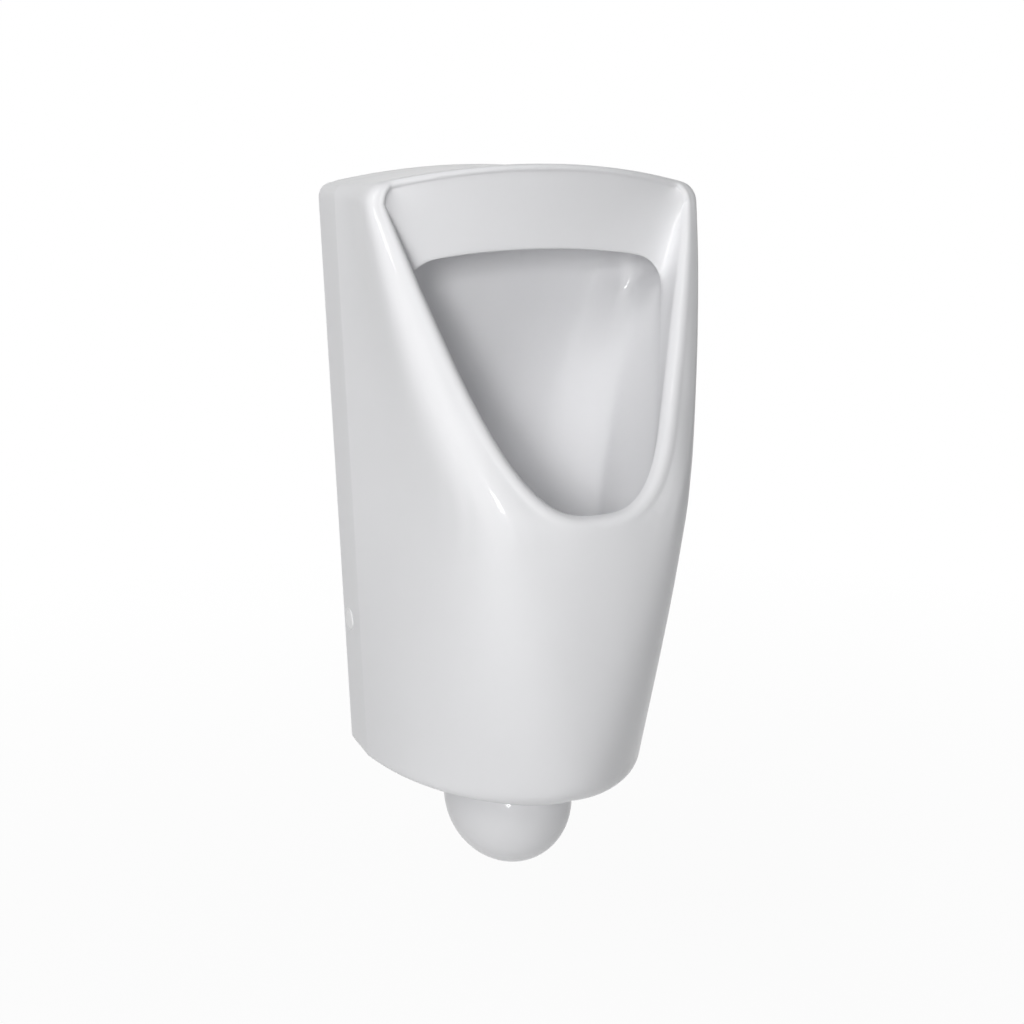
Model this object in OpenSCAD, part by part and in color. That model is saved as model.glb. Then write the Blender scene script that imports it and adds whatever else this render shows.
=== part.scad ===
// Wall hung urinal of glazed vitreous china with a built-in trap, its concealed inlet, outlet and wall fixings.
// The wall is the plane Y = 0, the front faces -Y, X is to the right and Z is up.
// The origin lies where the outlet's axis meets the wall; heights below count from the body's bottom edge.
// All sizes are in millimetres.

/* [Body] */
// Height of the body from its bottom edge to the crown of the top
body_h = 588; // [560:1:610]
// Width of the body at the top
top_w = 330; // [310:1:350]
// Width of the body at the bottom, against the wall
bottom_w = 292; // [284:1:304]
// Depth of the flat side band that runs up beside the wall
side_band = 54; // [50:1:60]
// Distance of the front from the wall at the bottom edge
bottom_d = 244; // [236:1:254]
// Distance of the lip from the wall
lip_d = 289; // [280:1:300]
// Height of the lip
lip_z = 281; // [270:1:294]
// Distance of the top front corners from the wall
top_d = 154; // [148:1:162]
// How far the front below the lip bellies out
front_bow = 7.6; // [0:0.2:10]
// Rounding of the bottom edge at the front
edge_front_r = 26; // [16:1:32]
// Rounding of the bottom edge beside the wall
edge_wall_r = 6; // [3:0.5:9]
// Rounding of the top corners at the rim
corner_rim_r = 22; // [16:1:28]
// Rounding of the top corners at the wall
corner_wall_r = 11; // [7:1:15]
// Slope of the crowned top where it meets its corners, in degrees
crown_deg = 12; // [8:0.5:15]

/* [Rim] */
// Width over the rim's crest at the top
crest_w = 331; // [322:1:334]
// How fast the rim opens from the lip, lower is rounder
crest_pow = 0.38; // [0.34:0.01:0.44]
// Width of the rolled rim
rim_w = 13.2; // [11:0.2:15]
// Extra reach of the top edge in the middle
top_bow = 12; // [8:0.5:16]

/* [Hood and bowl] */
// Height of the hood's lower edge in the middle
hood_z = 512; // [506:1:518]
// Distance of the hood's lower edge from the wall
hood_d = 150; // [142:1:156]
// Half width of the opening under the hood
hood_half_w = 129; // [124:1:132]
// Rounding of the opening's upper corners
hood_r = 34; // [28:1:38]
// Depth of the hood's hollow sweep
hood_hollow = 9; // [4:0.5:12]
// Distance of the bowl's back from the wall
bowl_back_d = 38; // [36:0.5:44]

/* [Drain and trap] */
// Distance of the drain from the wall
drain_d = 98; // [96:1:102]
// Height of the drain seat
drain_z = 70; // [66:1:78]
// Radius of the trap's waterway
way_r = 21; // [19:0.5:22]
// Distance of the trap bulb's middle from the wall
bulb_d = 75; // [72:1:80]
// Depth of the bulb's middle under the bottom edge
bulb_z = 54; // [51:1:56]
// Radius of the bulb across
bulb_r = 66; // [63:1:70]
// Half length of the bulb from front to back
bulb_half_l = 76; // [73:1:78]
// Tilt of the bulb, its back end up, in degrees
bulb_deg = 23; // [18:1:26]
// Height of the outlet's axis
outlet_z = 34; // [32:1:38]
// Radius of the outlet pipe
outlet_r = 25; // [24:0.5:26]

/* [Inlet] */
// Height of the inlet's axis
inlet_z = 532; // [528:1:536]
// Radius of the inlet hole through the china
inlet_r = 10.5; // [10:0.1:11]

/* [Fixings] */
// Distance between the two hangers
hanger_gap = 190; // [176:1:204]
// Height of the hangers' bearing shelves
hanger_z = 452; // [440:1:460]
// Distance between the wall screws of the lower fixing blocks
block_gap = 224; // [218:1:230]
// Height of the side screws
side_z = 140; // [134:1:150]
// Distance of the side screws from the wall
side_d = 21; // [20:0.5:24]

/* [Hidden] */
$fn = 64;
china = [0.95, 0.95, 0.94];
steel = [0.72, 0.73, 0.75];
brass = [0.82, 0.72, 0.45];
rubber = [0.15, 0.15, 0.16];
nylon = [0.88, 0.88, 0.86];
// Small overrun where one shape cuts another
over = 1;

// Points along half a loop, from the lip's middle round to the top's middle
fan_n = 13;
side_n = 23;
corner_n = 28;
half_n = 33;
loop_n = 2 * half_n;

function mix(a, b, t) = a + (b - a) * t;
function clamp(t) = min(1, max(0, t));
function ease(t) = let (s = clamp(t)) s * s * (3 - 2 * s);
function unit(v) = v / norm(v);
function soft_max(a, b, k) = (a + b + sqrt((a - b) * (a - b) + k * k) - k) / 2;
function bezier(p, q, r, s, t) =
    pow(1 - t, 3) * p + 3 * t * pow(1 - t, 2) * q + 3 * t * t * (1 - t) * r + pow(t, 3) * s;

// How the rim and the front of the body swing away from a straight line between the lip and the top
crest_hollow = 12.8;
front_fall = 18.6;
front_rise = 37;
front_swell = 7.7;
front_kick = 150;
crest_span = 345;
// How far the top runs back at its corners
corner_drop = 10;

// Shares and angles that shape a level section of the body: at the bottom, at the lip and at the top
toe_shares = [9, 14.5, 9.5];
reach_shares = [0.67, 0.98, 0.88];
nose_shares = [0.31, 0.82, 1.42];

function half_w(z) = mix(bottom_w, top_w, z / body_h) / 2;
function low_share(z) = z / lip_z;
function high_share(z) = (z - lip_z) / (body_h - lip_z);
function open_share(z) = z <= lip_z ? 0 : pow(high_share(z), crest_pow);
function crest_x(z) = crest_w / 2 * open_share(z);
function crest_y(z) = mix(lip_d, top_d, high_share(z)) - crest_hollow * high_share(z) * (1 - high_share(z));

// Front of the body; above the lip it is the surface that the opening is cut from
function front_y(z) = z <= lip_z
    ? mix(bottom_d, lip_d, low_share(z)) + 4 * front_bow * low_share(z) * (1 - low_share(z))
    : let (s = high_share(z)) crest_y(z) - front_fall * s + front_rise * s * s + front_swell * sin(180 * s)
            + front_kick * s * exp(-s / 0.09);
function three(l, z) = z <= lip_z ? mix(l[0], l[1], low_share(z)) : mix(l[1], l[2], high_share(z));
function nose(z) = three(nose_shares, z) + (z <= lip_z ? 0 : 0.65 * high_share(z) * (1 - high_share(z)));

// A point of the outer skin, as distance from the middle and from the wall, at girth share t of the level z
function section(t, z) =
    let (a = half_w(z), d = front_y(z), k = three(reach_shares, z) * (d - side_band), e = three(toe_shares, z))
    bezier([a, side_band], [a - k * sin(e), side_band + k * cos(e)], [nose(z) * a, d], [0, d], t);
function crest_share(z) = 1 - crest_x(z) / crest_span;
function edge_in(q, z) = let (r = mix(edge_wall_r, edge_front_r, q * q))
    z >= r ? 0 : r - sqrt(max(0, r * r - (r - z) * (r - z)));
function skin(q, z) =
    let (p = section(q, z), e = edge_in(q, z))
    [p[0] * (1 - e / half_w(z)), p[1] * (1 - e / front_y(z)), z];

// The corner and the top of any loop, from the end point e of its side
function arc_end(e, r) = [e[0] - r + r * sin(crown_deg), e[1], e[2] + r * cos(crown_deg)];
function crown(e, r, i, drop, bow) =
    i <= corner_n
    ? let (a = (90 - crown_deg) * (i - side_n) / (corner_n - side_n))
        [e[0] - r + r * cos(a), e[1] - drop * (1 - cos(a)), e[2] + r * sin(a)]
    : let (c = arc_end(e, r), s = 1 - (i - corner_n) / (half_n - corner_n))
        [c[0] * s, e[1] - drop * (1 - sin(crown_deg)) + bow * (1 - s * s),
            c[2] + tan(crown_deg) * c[0] / 2 * (1 - s * s)];
function crown_top(x, r) = r * cos(crown_deg) + tan(crown_deg) * (x - r + r * sin(crown_deg)) / 2;

// Heights where the sides end and the corners begin, at the rim and at the wall
rim_side_z = body_h - crown_top(crest_w / 2 * 0.955, corner_rim_r);
wall_side_z = body_h - crown_top(top_w / 2 * 0.996, corner_wall_r);

function crest_z(i) = lip_z + (rim_side_z - lip_z) * pow(i / side_n, 2);
wall_side_shares = [0.11, 0.22, 0.34, 0.46, 0.58, 0.71, 0.85, 1];
function wall_z(i) = i <= fan_n ? 0
    : i == fan_n + 1 ? edge_wall_r * 0.29
    : i == fan_n + 2 ? edge_wall_r
    : edge_wall_r + (wall_side_z - edge_wall_r) * wall_side_shares[i - fan_n - 3];
function wall_q(i) = i <= fan_n ? 1 - i / fan_n : 0;

// Outer skin: v runs from the crest of the rim to the side band, w from there to the wall
function outer_side(i, v) =
    let (c = crest_z(i), z = mix(c, wall_z(i), v), q = mix(crest_share(c), wall_q(i), v))
    skin(q, z) + ([crest_x(c), crest_y(c), c] - skin(crest_share(c), c)) * pow(max(0, 1 - v / 0.75), 2);
function outer_corner_r(v) = mix(corner_rim_r, corner_wall_r, v);
function outer(i, v) =
    i <= side_n ? outer_side(i, v)
    : let (e = outer_side(side_n, v), s = e[1] / outer_side(side_n, 0)[1])
        crown(e, outer_corner_r(v), i, corner_drop * s, top_bow * s);
function band(i, w) =
    i < fan_n
    ? let (p = skin(wall_q(i), 0))
        [mix(p[0], (half_w(0) - edge_wall_r) * i / fan_n, ease(w)), p[1] * (1 - w), 0]
    : i <= side_n
    ? let (p = skin(0, wall_z(i))) [p[0], p[1] * (1 - w), p[2]]
    : let (e = skin(0, wall_side_z), s = e[1] * (1 - w) / outer_side(side_n, 0)[1])
        crown([e[0], e[1] * (1 - w), e[2]], corner_wall_r, i, corner_drop * s, top_bow * s);

// Rolled rim: steps inwards along the opening and forwards off it
cut_deg = atan((lip_d - top_d) / (body_h - lip_z));
roll_shares = [[0.15, 0.06], [0.34, 0.1], [0.57, 0.08], [0.76, -0.05], [0.9, -0.26], [0.97, -0.57], [1, -0.95]];
function along(i) = let (p = outer(max(0, i - 1), 0), n = outer(min(half_n, i + 1), 0))
    i == 0 ? [1, 0] : i == half_n ? [-1, 0] : unit([n[0] - p[0], n[2] - p[2]]);
function inward(i) = let (t = along(i)) unit([-t[1], -tan(cut_deg) * t[0], t[0]]);
forward = [0, cos(cut_deg), sin(cut_deg)];
function roll(i, k) = outer(i, 0) + rim_w * (roll_shares[k][0] * inward(i) + roll_shares[k][1] * forward);
function rim_in(i) = roll(i, len(roll_shares) - 1);

// Lower edge of the hood and of the flush rim that runs on down both sides
throat_drop = 16;
throat_lip_z = lip_z - throat_drop;
throat_gap = 22;
throat_pull = 3;
hood_arch = 4;
throat_side_z = hood_z - hood_r * cos(crown_deg) - tan(crown_deg) * (hood_half_w - hood_r) * 0.35;
function throat_side(i) =
    let (p = rim_in(i), e = rim_in(side_n), l = rim_in(0), u = max(0, (p[2] - l[2]) / (e[2] - l[2])),
        z = mix(throat_lip_z, throat_side_z, u), g = crest_y(throat_side_z) - hood_d - throat_gap)
    [hood_half_w * pow(u, crest_pow + 0.02), crest_y(max(z, lip_z)) - throat_gap - g * pow(u, 0.7), z];
function throat(i) =
    i <= side_n ? throat_side(i)
    : let (e = throat_side(side_n), c = crown(e, hood_r, i, 0, 0), t = (e[0] - c[0]) / e[0])
        [c[0], c[1] + throat_pull * t, min(c[2], c[2] - (c[2] - e[2] - hood_r) * 0.3)];
function hood(i, t) =
    let (p = rim_in(i), e = throat(i), s = i <= side_n ? ease(i / side_n) : 1)
    mix(p, e, t) - [0, hood_hollow * s * 4 * t * (1 - t), 0] + [0, 0, hood_arch * s * sin(180 * t)];

// Undercut behind the edge: h is how far it opens outwards, b how far it goes back
function throat_along(i) = let (p = throat(max(0, i - 1)), n = throat(min(half_n, i + 1)))
    i == 0 ? [1, 0] : i == half_n ? [-1, 0] : unit([n[0] - p[0], n[2] - p[2]]);
function under(i, h, b, low) =
    let (t = throat_along(i), s = ease(i / corner_n), o = h * mix(0.22, 1, max(0, -t[0])) * ease(i / 8))
    throat(i) + [t[1] * o, -b * mix(0.25, 1, s), -t[0] * o - low * (1 - s)];

// Bowl: each line runs from the undercut down to the drain
bowl_out = 30;
bowl_in = 58;
bowl_low = 44;
drain_rim_r = 43;
drain_dish = 4;
bowl_lead_d = 10;
bowl_lead_z = [90, -6];
bowl_lean = [6, 12];
bowl_run = 62;
bowl_run_z = [8, 46];
bowl_corner = 16;
function drain_pt(i, r, z) = let (a = 180 * i / half_n) [r * sin(a), drain_d + r * cos(a), z];
function bowl_line(i, t) =
    let (p = under(i, bowl_out, bowl_in, bowl_low), s = ease(i / corner_n), k = ease(i / 26),
        d = drain_pt(i, drain_rim_r, drain_z + drain_dish), f = sin(180 * i / half_n))
    bezier(p,
        [p[0] * mix(0.96, 1, s), mix(p[1] - bowl_lead_d, bowl_back_d - bowl_lean[0], ease(i / 22)),
            p[2] - mix(bowl_lead_z[0], bowl_lead_z[1], k)],
        [d[0] + bowl_run * f, mix(d[1] + bowl_run, bowl_back_d - bowl_lean[1], k),
            drain_z + mix(bowl_run_z[0], bowl_run_z[1], k)],
        d, t);

// The bowl's back turns into its sides with a wide sweep: what lies past the sweep's arc is drawn in onto it
bowl_low_w = 68;
bowl_top_w = 136;
sweep_share = 0.66;
function bowl_half_w(z) = mix(bowl_low_w, bowl_top_w, clamp((z - drain_z) / (throat_side_z - drain_z)));
function bowl(i, t) =
    let (p = bowl_line(i, t), k = ease(t / 0.12) * ease((1 - t) / 0.15), w = bowl_half_w(p[2]), r = sweep_share * w,
        d = soft_max(p[1], mix(p[1], bowl_back_d, k), bowl_corner * k), v = [p[0] - w + r, d - bowl_back_d - r],
        s = k * ease(-4 * v[1] / r) * ease(4 * v[0] / r), m = norm(v) > r ? mix(1, r / norm(v), s) : 1)
    [w - r + v[0] * m, bowl_back_d + r + v[1] * m, p[2]];

// The undercut's three steps, each outwards, back and down, and the drain's two rings, each radius and height
under_steps = [[2, 5, 6], [14, 10, 14], [26, 26, 26]];
drain_rings = [[42, 1], [40, 0]];

// The loops in their order, from the recess in the back over the skin and the rim down to the drain
recess_d = 16;
recess_low_z = 84;
recess_side = 22;
function recess(i, y) =
    let (p = band(i, 1), k = 1 - recess_side / half_w(p[2]))
    [p[0] * k, y, mix(recess_low_z, body_h - recess_side, p[2] / body_h)];
skin_shares = [1, 0.993, 0.978, 0.952, 0.915, 0.86, 0.78, 0.68, 0.56, 0.43, 0.31, 0.2, 0.12, 0.065, 0.028];
band_shares = [1, 0.66, 0.33];
hood_shares = [0.2, 0.4, 0.6, 0.8, 0.94];
bowl_shares = [0.04, 0.1, 0.17, 0.25, 0.34, 0.43, 0.52, 0.61, 0.7, 0.78, 0.86, 0.93, 1];
kinds = concat(
    [[0, recess_d], [0, 0]],
    [for (w = band_shares) [1, w]],
    [for (v = skin_shares) [2, v]],
    [[2, 0]],
    [for (k = [0 : len(roll_shares) - 1]) [3, k]],
    [for (t = hood_shares) [4, t]],
    [[5, 0], [6, 0], [6, 1], [6, 2]],
    [for (t = bowl_shares) [7, t]],
    [[8, 0], [8, 1]]);
function loop_pt(i, k) =
    k[0] == 0 ? recess(i, k[1])
    : k[0] == 1 ? band(i, k[1])
    : k[0] == 2 ? outer(i, k[1])
    : k[0] == 3 ? roll(i, k[1])
    : k[0] == 4 ? hood(i, k[1])
    : k[0] == 5 ? throat(i)
    : k[0] == 6 ? under(i, under_steps[k[1]][0], under_steps[k[1]][1], under_steps[k[1]][2])
    : k[0] == 7 ? bowl(i, k[1])
    : drain_pt(i, drain_rings[k[1]][0], drain_z + drain_rings[k[1]][1]);
function row(k) = let (h = [for (i = [0 : half_n]) loop_pt(i, k)])
    [for (j = [0 : loop_n - 1]) let (i = j <= half_n ? j : loop_n - j, s = j <= half_n ? 1 : -1)
        [i == 0 || i == half_n ? 0 : s * h[i][0], -h[i][1], h[i][2]]];
rows = [for (k = kinds) row(k)];
rows_n = len(kinds);
centre = [[0, -recess_d, mix(recess_low_z, body_h - recess_side, 0.5)], [0, -drain_d, drain_z]];
function flat_list(l) = [for (a = l) for (b = a) b];
function at(r, j) = r * loop_n + (j % loop_n);

module casting() {
    polyhedron(points = concat(flat_list(rows), centre), faces = concat(
        [for (r = [0 : rows_n - 2]) for (j = [0 : loop_n - 1]) [at(r, j), at(r + 1, j + 1), at(r, j + 1)]],
        [for (r = [0 : rows_n - 2]) for (j = [0 : loop_n - 1]) [at(r, j), at(r + 1, j), at(r + 1, j + 1)]],
        [for (j = [0 : loop_n - 1]) [rows_n * loop_n, at(0, j), at(0, j + 1)]],
        [for (j = [0 : loop_n - 1]) [rows_n * loop_n + 1, at(rows_n - 1, j + 1), at(rows_n - 1, j)]]));
}

// The waterway: down from the drain, through the bulb, up behind the dividing wall and out to the wall
up_d = 43;
dip_z = 66;
socket_l = 38;
seal_t = 5;
module turned_y(d, z, l, r, x = 0) translate([x, -d, z]) rotate([-90, 0, 0]) cylinder(r = r, h = l);
module waterway() {
    translate([0, -drain_d, -dip_z]) cylinder(r = way_r, h = drain_z + dip_z + over);
    translate([0, -drain_d, -dip_z]) sphere(r = way_r);
    translate([0, -drain_d, -dip_z]) rotate([-90, 0, 0]) cylinder(r = way_r, h = drain_d - up_d);
    translate([0, -up_d, -dip_z]) sphere(r = way_r);
    translate([0, -up_d, -dip_z]) cylinder(r = way_r, h = outlet_z + dip_z);
    translate([0, -up_d, outlet_z]) sphere(r = way_r);
    turned_y(up_d, outlet_z, up_d, way_r);
    turned_y(socket_l, outlet_z, socket_l + over, outlet_r + seal_t);
}
module bulb_skin() {
    translate([0, -bulb_d, -bulb_z]) rotate([bulb_deg - 90, 0, 0]) rotate_extrude(angle = 360) polygon(
        [for (a = [-90 : 7.5 : 90]) [bulb_r * cos(a), bulb_half_l * sin(a)]]);
}

// What the wall side carries: the inlet's seats, the hanger pockets and the pockets of the lower blocks
inlet_seat_d = 44;
inlet_face_r = 20;
inlet_face_l = 30;
pocket_w = 50;
pocket_d = 14;
pocket_drop = 40;
lip_pocket_d = 9;
lip_pocket_h = 15;
hook_low = [32, 22];
block_clear = [5, 2];
block_w = 28;
block_h = 46;
block_d = 34;
block_drop = 30;
block_gap_d = 4;
collar_hole_r = 5.5;
cap_hole_r = 11.3;
cap_hole_l = 6;
side_reach = 60;
module hanger_pocket(x) {
    translate([x - pocket_w / 2, -recess_d - pocket_d, hanger_z - pocket_drop])
        cube([pocket_w, pocket_d + over, pocket_drop]);
    translate([x - pocket_w / 2, -recess_d - pocket_d, hanger_z - over])
        cube([pocket_w, lip_pocket_d, lip_pocket_h + over]);
}
module block_pocket(s) {
    translate([s * block_gap / 2 - (s > 0 ? block_w / 2 + block_clear[0] : block_w / 2 + block_clear[1]),
        -block_d - block_gap_d, side_z - hook_low[0]])
        cube([block_w + block_clear[0] + block_clear[1], block_d + block_gap_d + over,
            hook_low[0] + hook_low[1]]);
    translate([s * block_gap / 2, -side_d, side_z]) rotate([0, s * 90, 0])
        cylinder(r = collar_hole_r, h = side_reach);
    translate([s * (half_w(side_z) - cap_hole_l), -side_d, side_z]) rotate([0, s * 90, 0])
        cylinder(r = cap_hole_r, h = side_reach);
}
module china_body() {
    difference() {
        union() {
            casting();
            bulb_skin();
        }
        waterway();
        turned_y(inlet_seat_d + inlet_face_l, inlet_z, inlet_face_l, inlet_face_r);
        turned_y(inlet_seat_d + over, inlet_z, inlet_seat_d + 2 * over, inlet_r);
        for (x = [-hanger_gap / 2, hanger_gap / 2]) hanger_pocket(x);
        for (s = [-1, 1]) block_pocket(s);
    }
}

// Drain: a rubber ring and a lift-out strainer whose neck stands in the waterway
ring_h = 3;
ring_over = 1.2;
strainer_r = 35;
plate_h = 2.4;
plate_edge = [2, 1];
knob_r = [9, 6.5];
knob_h = 3.4;
neck_l = 15;
neck_t = 2.4;
neck_gap = 0.06;
neck_slot = [8, 8];
slot_r = 2.4;
slot_rings = [[12, 6], [20.5, 10], [29, 14]];
module at_drain(z) translate([0, -drain_d, z]) children();
module strainer_ring() at_drain(drain_z) difference() {
    cylinder(r = strainer_r + ring_over, h = ring_h);
    translate([0, 0, -over]) cylinder(r = way_r + ring_h, h = ring_h + 2 * over);
}
module strainer_neck() translate([0, 0, -neck_l]) difference() {
    cylinder(r = way_r - neck_gap, h = neck_l + over);
    translate([0, 0, -over]) cylinder(r = way_r - neck_t, h = neck_l + over + plate_h);
    for (a = [0, 60, 120]) rotate([0, 0, a]) translate([-way_r - over, -neck_slot[0] / 2, -over])
        cube([2 * way_r + 2 * over, neck_slot[0], neck_slot[1] + over]);
}
module drain_strainer() at_drain(drain_z + ring_h) difference() {
    union() {
        cylinder(r = strainer_r, h = plate_h);
        translate([0, 0, plate_h])
            cylinder(r1 = strainer_r, r2 = strainer_r - plate_edge[0], h = plate_edge[1]);
        translate([0, 0, plate_h]) cylinder(r1 = knob_r[0], r2 = knob_r[1], h = knob_h);
        strainer_neck();
    }
    for (g = slot_rings) for (k = [0 : g[1] - 1]) rotate([0, 0, k * 360 / g[1]])
        translate([g[0], 0, -over]) cylinder(r = slot_r, h = plate_h + plate_edge[1] + 2 * over);
}

// Inlet: spreader head and stem through the china, clamped from behind, and the supply tail in the wall
stem_gap = 0.4;
stem_r = inlet_r - stem_gap;
stem_bore_r = 6.5;
stem_in_head = 3;
stem_end_d = -26;
fit_gap = 0.3;
nut_gap = 0.05;
head_r = 17;
head_rim = 4;
head_nose = [5, 6];
head_hollow = 7;
spray_slot = [2.8, 3];
spray_d = 6.2;
washer_h = 2.5;
washer_r = 17;
plate_washer_h = 1.6;
nut_af = 28;
nut_h = 8;
union_af = 27;
union_l = 22;
union_grip = 14;
union_deep = 19;
union_lip = 2;
tail_flange = [10, 3];
tail_shoulder = [0.25, 7];
tail_l = 60;
tail_t = 1.6;
tail_bore_in = 0.5;
hex_share = 1.1547;
module tube(d, z, l, r, b) difference() {
    turned_y(d, z, l, r);
    turned_y(d + over, z, l + 2 * over, b);
}
module hex_y(d, z, l, af, b) difference() {
    translate([0, -d, z]) rotate([-90, 0, 0]) cylinder(r = af / 2 * hex_share, h = l, $fn = 6);
    turned_y(d + over, z, l + 2 * over, b);
}
head_d = inlet_seat_d + washer_h;
module spray_slots() for (a = [-60 : 24 : 60]) translate([0, -head_d - spray_d, inlet_z])
    rotate([0, a, 0]) translate([-spray_slot[0] / 2, 0, -head_r - over])
    cube([spray_slot[0], spray_slot[1], head_r + over]);
module front_washer() tube(head_d, inlet_z, washer_h, head_r - over, inlet_r);
module spreader_head() difference() {
    union() {
        turned_y(head_d + head_rim, inlet_z, head_rim, head_r);
        translate([0, -head_d - head_rim, inlet_z]) rotate([90, 0, 0])
            cylinder(r1 = head_r, r2 = head_r - head_nose[0], h = head_nose[1]);
    }
    turned_y(head_d + head_hollow, inlet_z, head_hollow + over, stem_r + fit_gap);
    spray_slots();
}
stem_l = head_d + stem_in_head - stem_end_d;
module spreader_stem() tube(head_d + stem_in_head, inlet_z, stem_l, stem_r, stem_bore_r);
module back_washer() tube(recess_d, inlet_z, washer_h, washer_r, stem_r + fit_gap);
module pressure_washer() tube(recess_d - washer_h, inlet_z, plate_washer_h, washer_r, stem_r + fit_gap);
nut_d = recess_d - washer_h - plate_washer_h;
module back_nut() hex_y(nut_d, inlet_z, nut_h, nut_af, stem_r + nut_gap);
module union_ring() tube(stem_end_d, inlet_z, union_lip, tail_flange[0], stem_bore_r);
module union_nut() difference() {
    hex_y(stem_end_d + union_grip, inlet_z, union_l, union_af, stem_bore_r + union_lip);
    turned_y(stem_end_d + union_grip + over, inlet_z, union_deep + over, stem_r + nut_gap);
}
module supply_tail() difference() {
    union() {
        turned_y(stem_end_d - union_lip, inlet_z, tail_flange[1], tail_flange[0]);
        turned_y(stem_end_d - union_lip, inlet_z, tail_shoulder[1], stem_bore_r + tail_t + tail_shoulder[0]);
        turned_y(stem_end_d - union_lip, inlet_z, tail_l, stem_bore_r + tail_t);
    }
    turned_y(stem_end_d, inlet_z, tail_l + 2 * union_lip + over, stem_bore_r - tail_bore_in);
}

// Outlet: lip seal in the socket and the spigot that runs into the wall
seal_d = [26, 16];
seal_grip = 0.02;
lip_d_list = [14, 19, 24];
lip_groove = [2.4, 3.6];
spigot_d = 34;
spigot_l = 114;
spigot_t = 2.6;
collar_d = [8, 5];
collar_over = 4;
module outlet_seal() difference() {
    turned_y(seal_d[0], outlet_z, seal_d[1], outlet_r + seal_t);
    turned_y(seal_d[0] + over, outlet_z, seal_d[1] + 2 * over, outlet_r + seal_grip);
    for (d = lip_d_list) difference() {
        turned_y(d, outlet_z, lip_groove[0], outlet_r + seal_t + over);
        turned_y(d + over, outlet_z, lip_groove[0] + 2 * over, outlet_r + lip_groove[1]);
    }
}
module outlet_spigot() difference() {
    union() {
        turned_y(spigot_d, outlet_z, spigot_l, outlet_r - seal_grip);
        turned_y(collar_d[0], outlet_z, collar_d[1], outlet_r + collar_over);
    }
    turned_y(spigot_d + over, outlet_z, spigot_l + 2 * over, outlet_r - spigot_t);
}

// Upper fixing: a bent hanger each side, with its screws, washers and wall plugs
plate_t = 4;
hang_w = 44;
hang_h = 78;
shelf_out = 11.6;
shelf_lip = 14;
gusset = [26, 15];
gusset_t = 3;
hole_r = 4.5;
hanger_holes = [[0, 24], [-11, 58], [11, 58]];
screw_r = 3.95;
screw_l = 55;
screw_af = 12;
screw_head_h = 5;
screw_tip_r = 0.6;
disc_r = 8.5;
disc_bore_r = 4.1;
disc_h = 1.6;
plug_r = 5.5;
plug_bore_r = 4;
plug_l = 62;
plug_rim = [0.6, 1];
plug_rib = [-0.6, 0.5, 5];
plug_rib_z = 10;
plug_rib_gap = 8;
module hanger(x) translate([x, 0, 0]) difference() {
    union() {
        translate([-hang_w / 2, -plate_t, hanger_z - hang_h]) cube([hang_w, plate_t, hang_h]);
        translate([-hang_w / 2, -recess_d - shelf_out, hanger_z - plate_t])
            cube([hang_w, recess_d + shelf_out, plate_t]);
        translate([-hang_w / 2, -recess_d - shelf_out, hanger_z - plate_t]) cube([hang_w, plate_t, shelf_lip]);
        for (k = [-1, 1]) translate([k * (hang_w - gusset_t) / 2, 0, hanger_z]) rotate([0, 90, 0])
            linear_extrude(height = gusset_t, center = true) polygon([[0, 0], [gusset[0], 0], [0, -gusset[1]]]);
    }
    for (p = hanger_holes) translate([p[0], over, hanger_z - p[1]])
        rotate([90, 0, 0]) cylinder(r = hole_r, h = plate_t + 2 * over);
}
module hanger_left() hanger(-hanger_gap / 2);
module hanger_right() hanger(hanger_gap / 2);
module each_hanger_hole() for (x = [-hanger_gap / 2, hanger_gap / 2]) for (p = hanger_holes)
    translate([x + p[0], 0, hanger_z - p[1]]) children();
module wall_screw(t, r, head_af, l) rotate([90, 0, 0]) {
    translate([0, 0, t]) cylinder(r = head_af / 2 * hex_share, h = screw_head_h, $fn = 6);
    translate([0, 0, t - l]) cylinder(r = r, h = l + over);
    translate([0, 0, t - l - screw_head_h]) cylinder(r1 = screw_tip_r, r2 = r, h = screw_head_h);
}
module washer(t, r, b, h) rotate([90, 0, 0]) translate([0, 0, t]) difference() {
    cylinder(r = r, h = h);
    translate([0, 0, -over]) cylinder(r = b, h = h + 2 * over);
}
module plug(r, b, l) rotate([-90, 0, 0]) difference() {
    union() {
        cylinder(r = r, h = l);
        cylinder(r = r + plug_rim[0], h = plug_rim[1]);
        for (z = [plug_rib_z : plug_rib_gap : l - plug_rib_gap]) translate([0, 0, z])
            cylinder(r1 = r + plug_rib[0], r2 = r + plug_rib[1], h = plug_rib[2]);
    }
    translate([0, 0, -over]) cylinder(r = b, h = l + 2 * over);
}
module hanger_washers() each_hanger_hole() washer(plate_t, disc_r, disc_bore_r, disc_h);
module hanger_screws() each_hanger_hole() wall_screw(plate_t + disc_h, screw_r, screw_af, screw_l);
module hanger_plugs() each_hanger_hole() plug(plug_r, plug_bore_r, plug_l);

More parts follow.
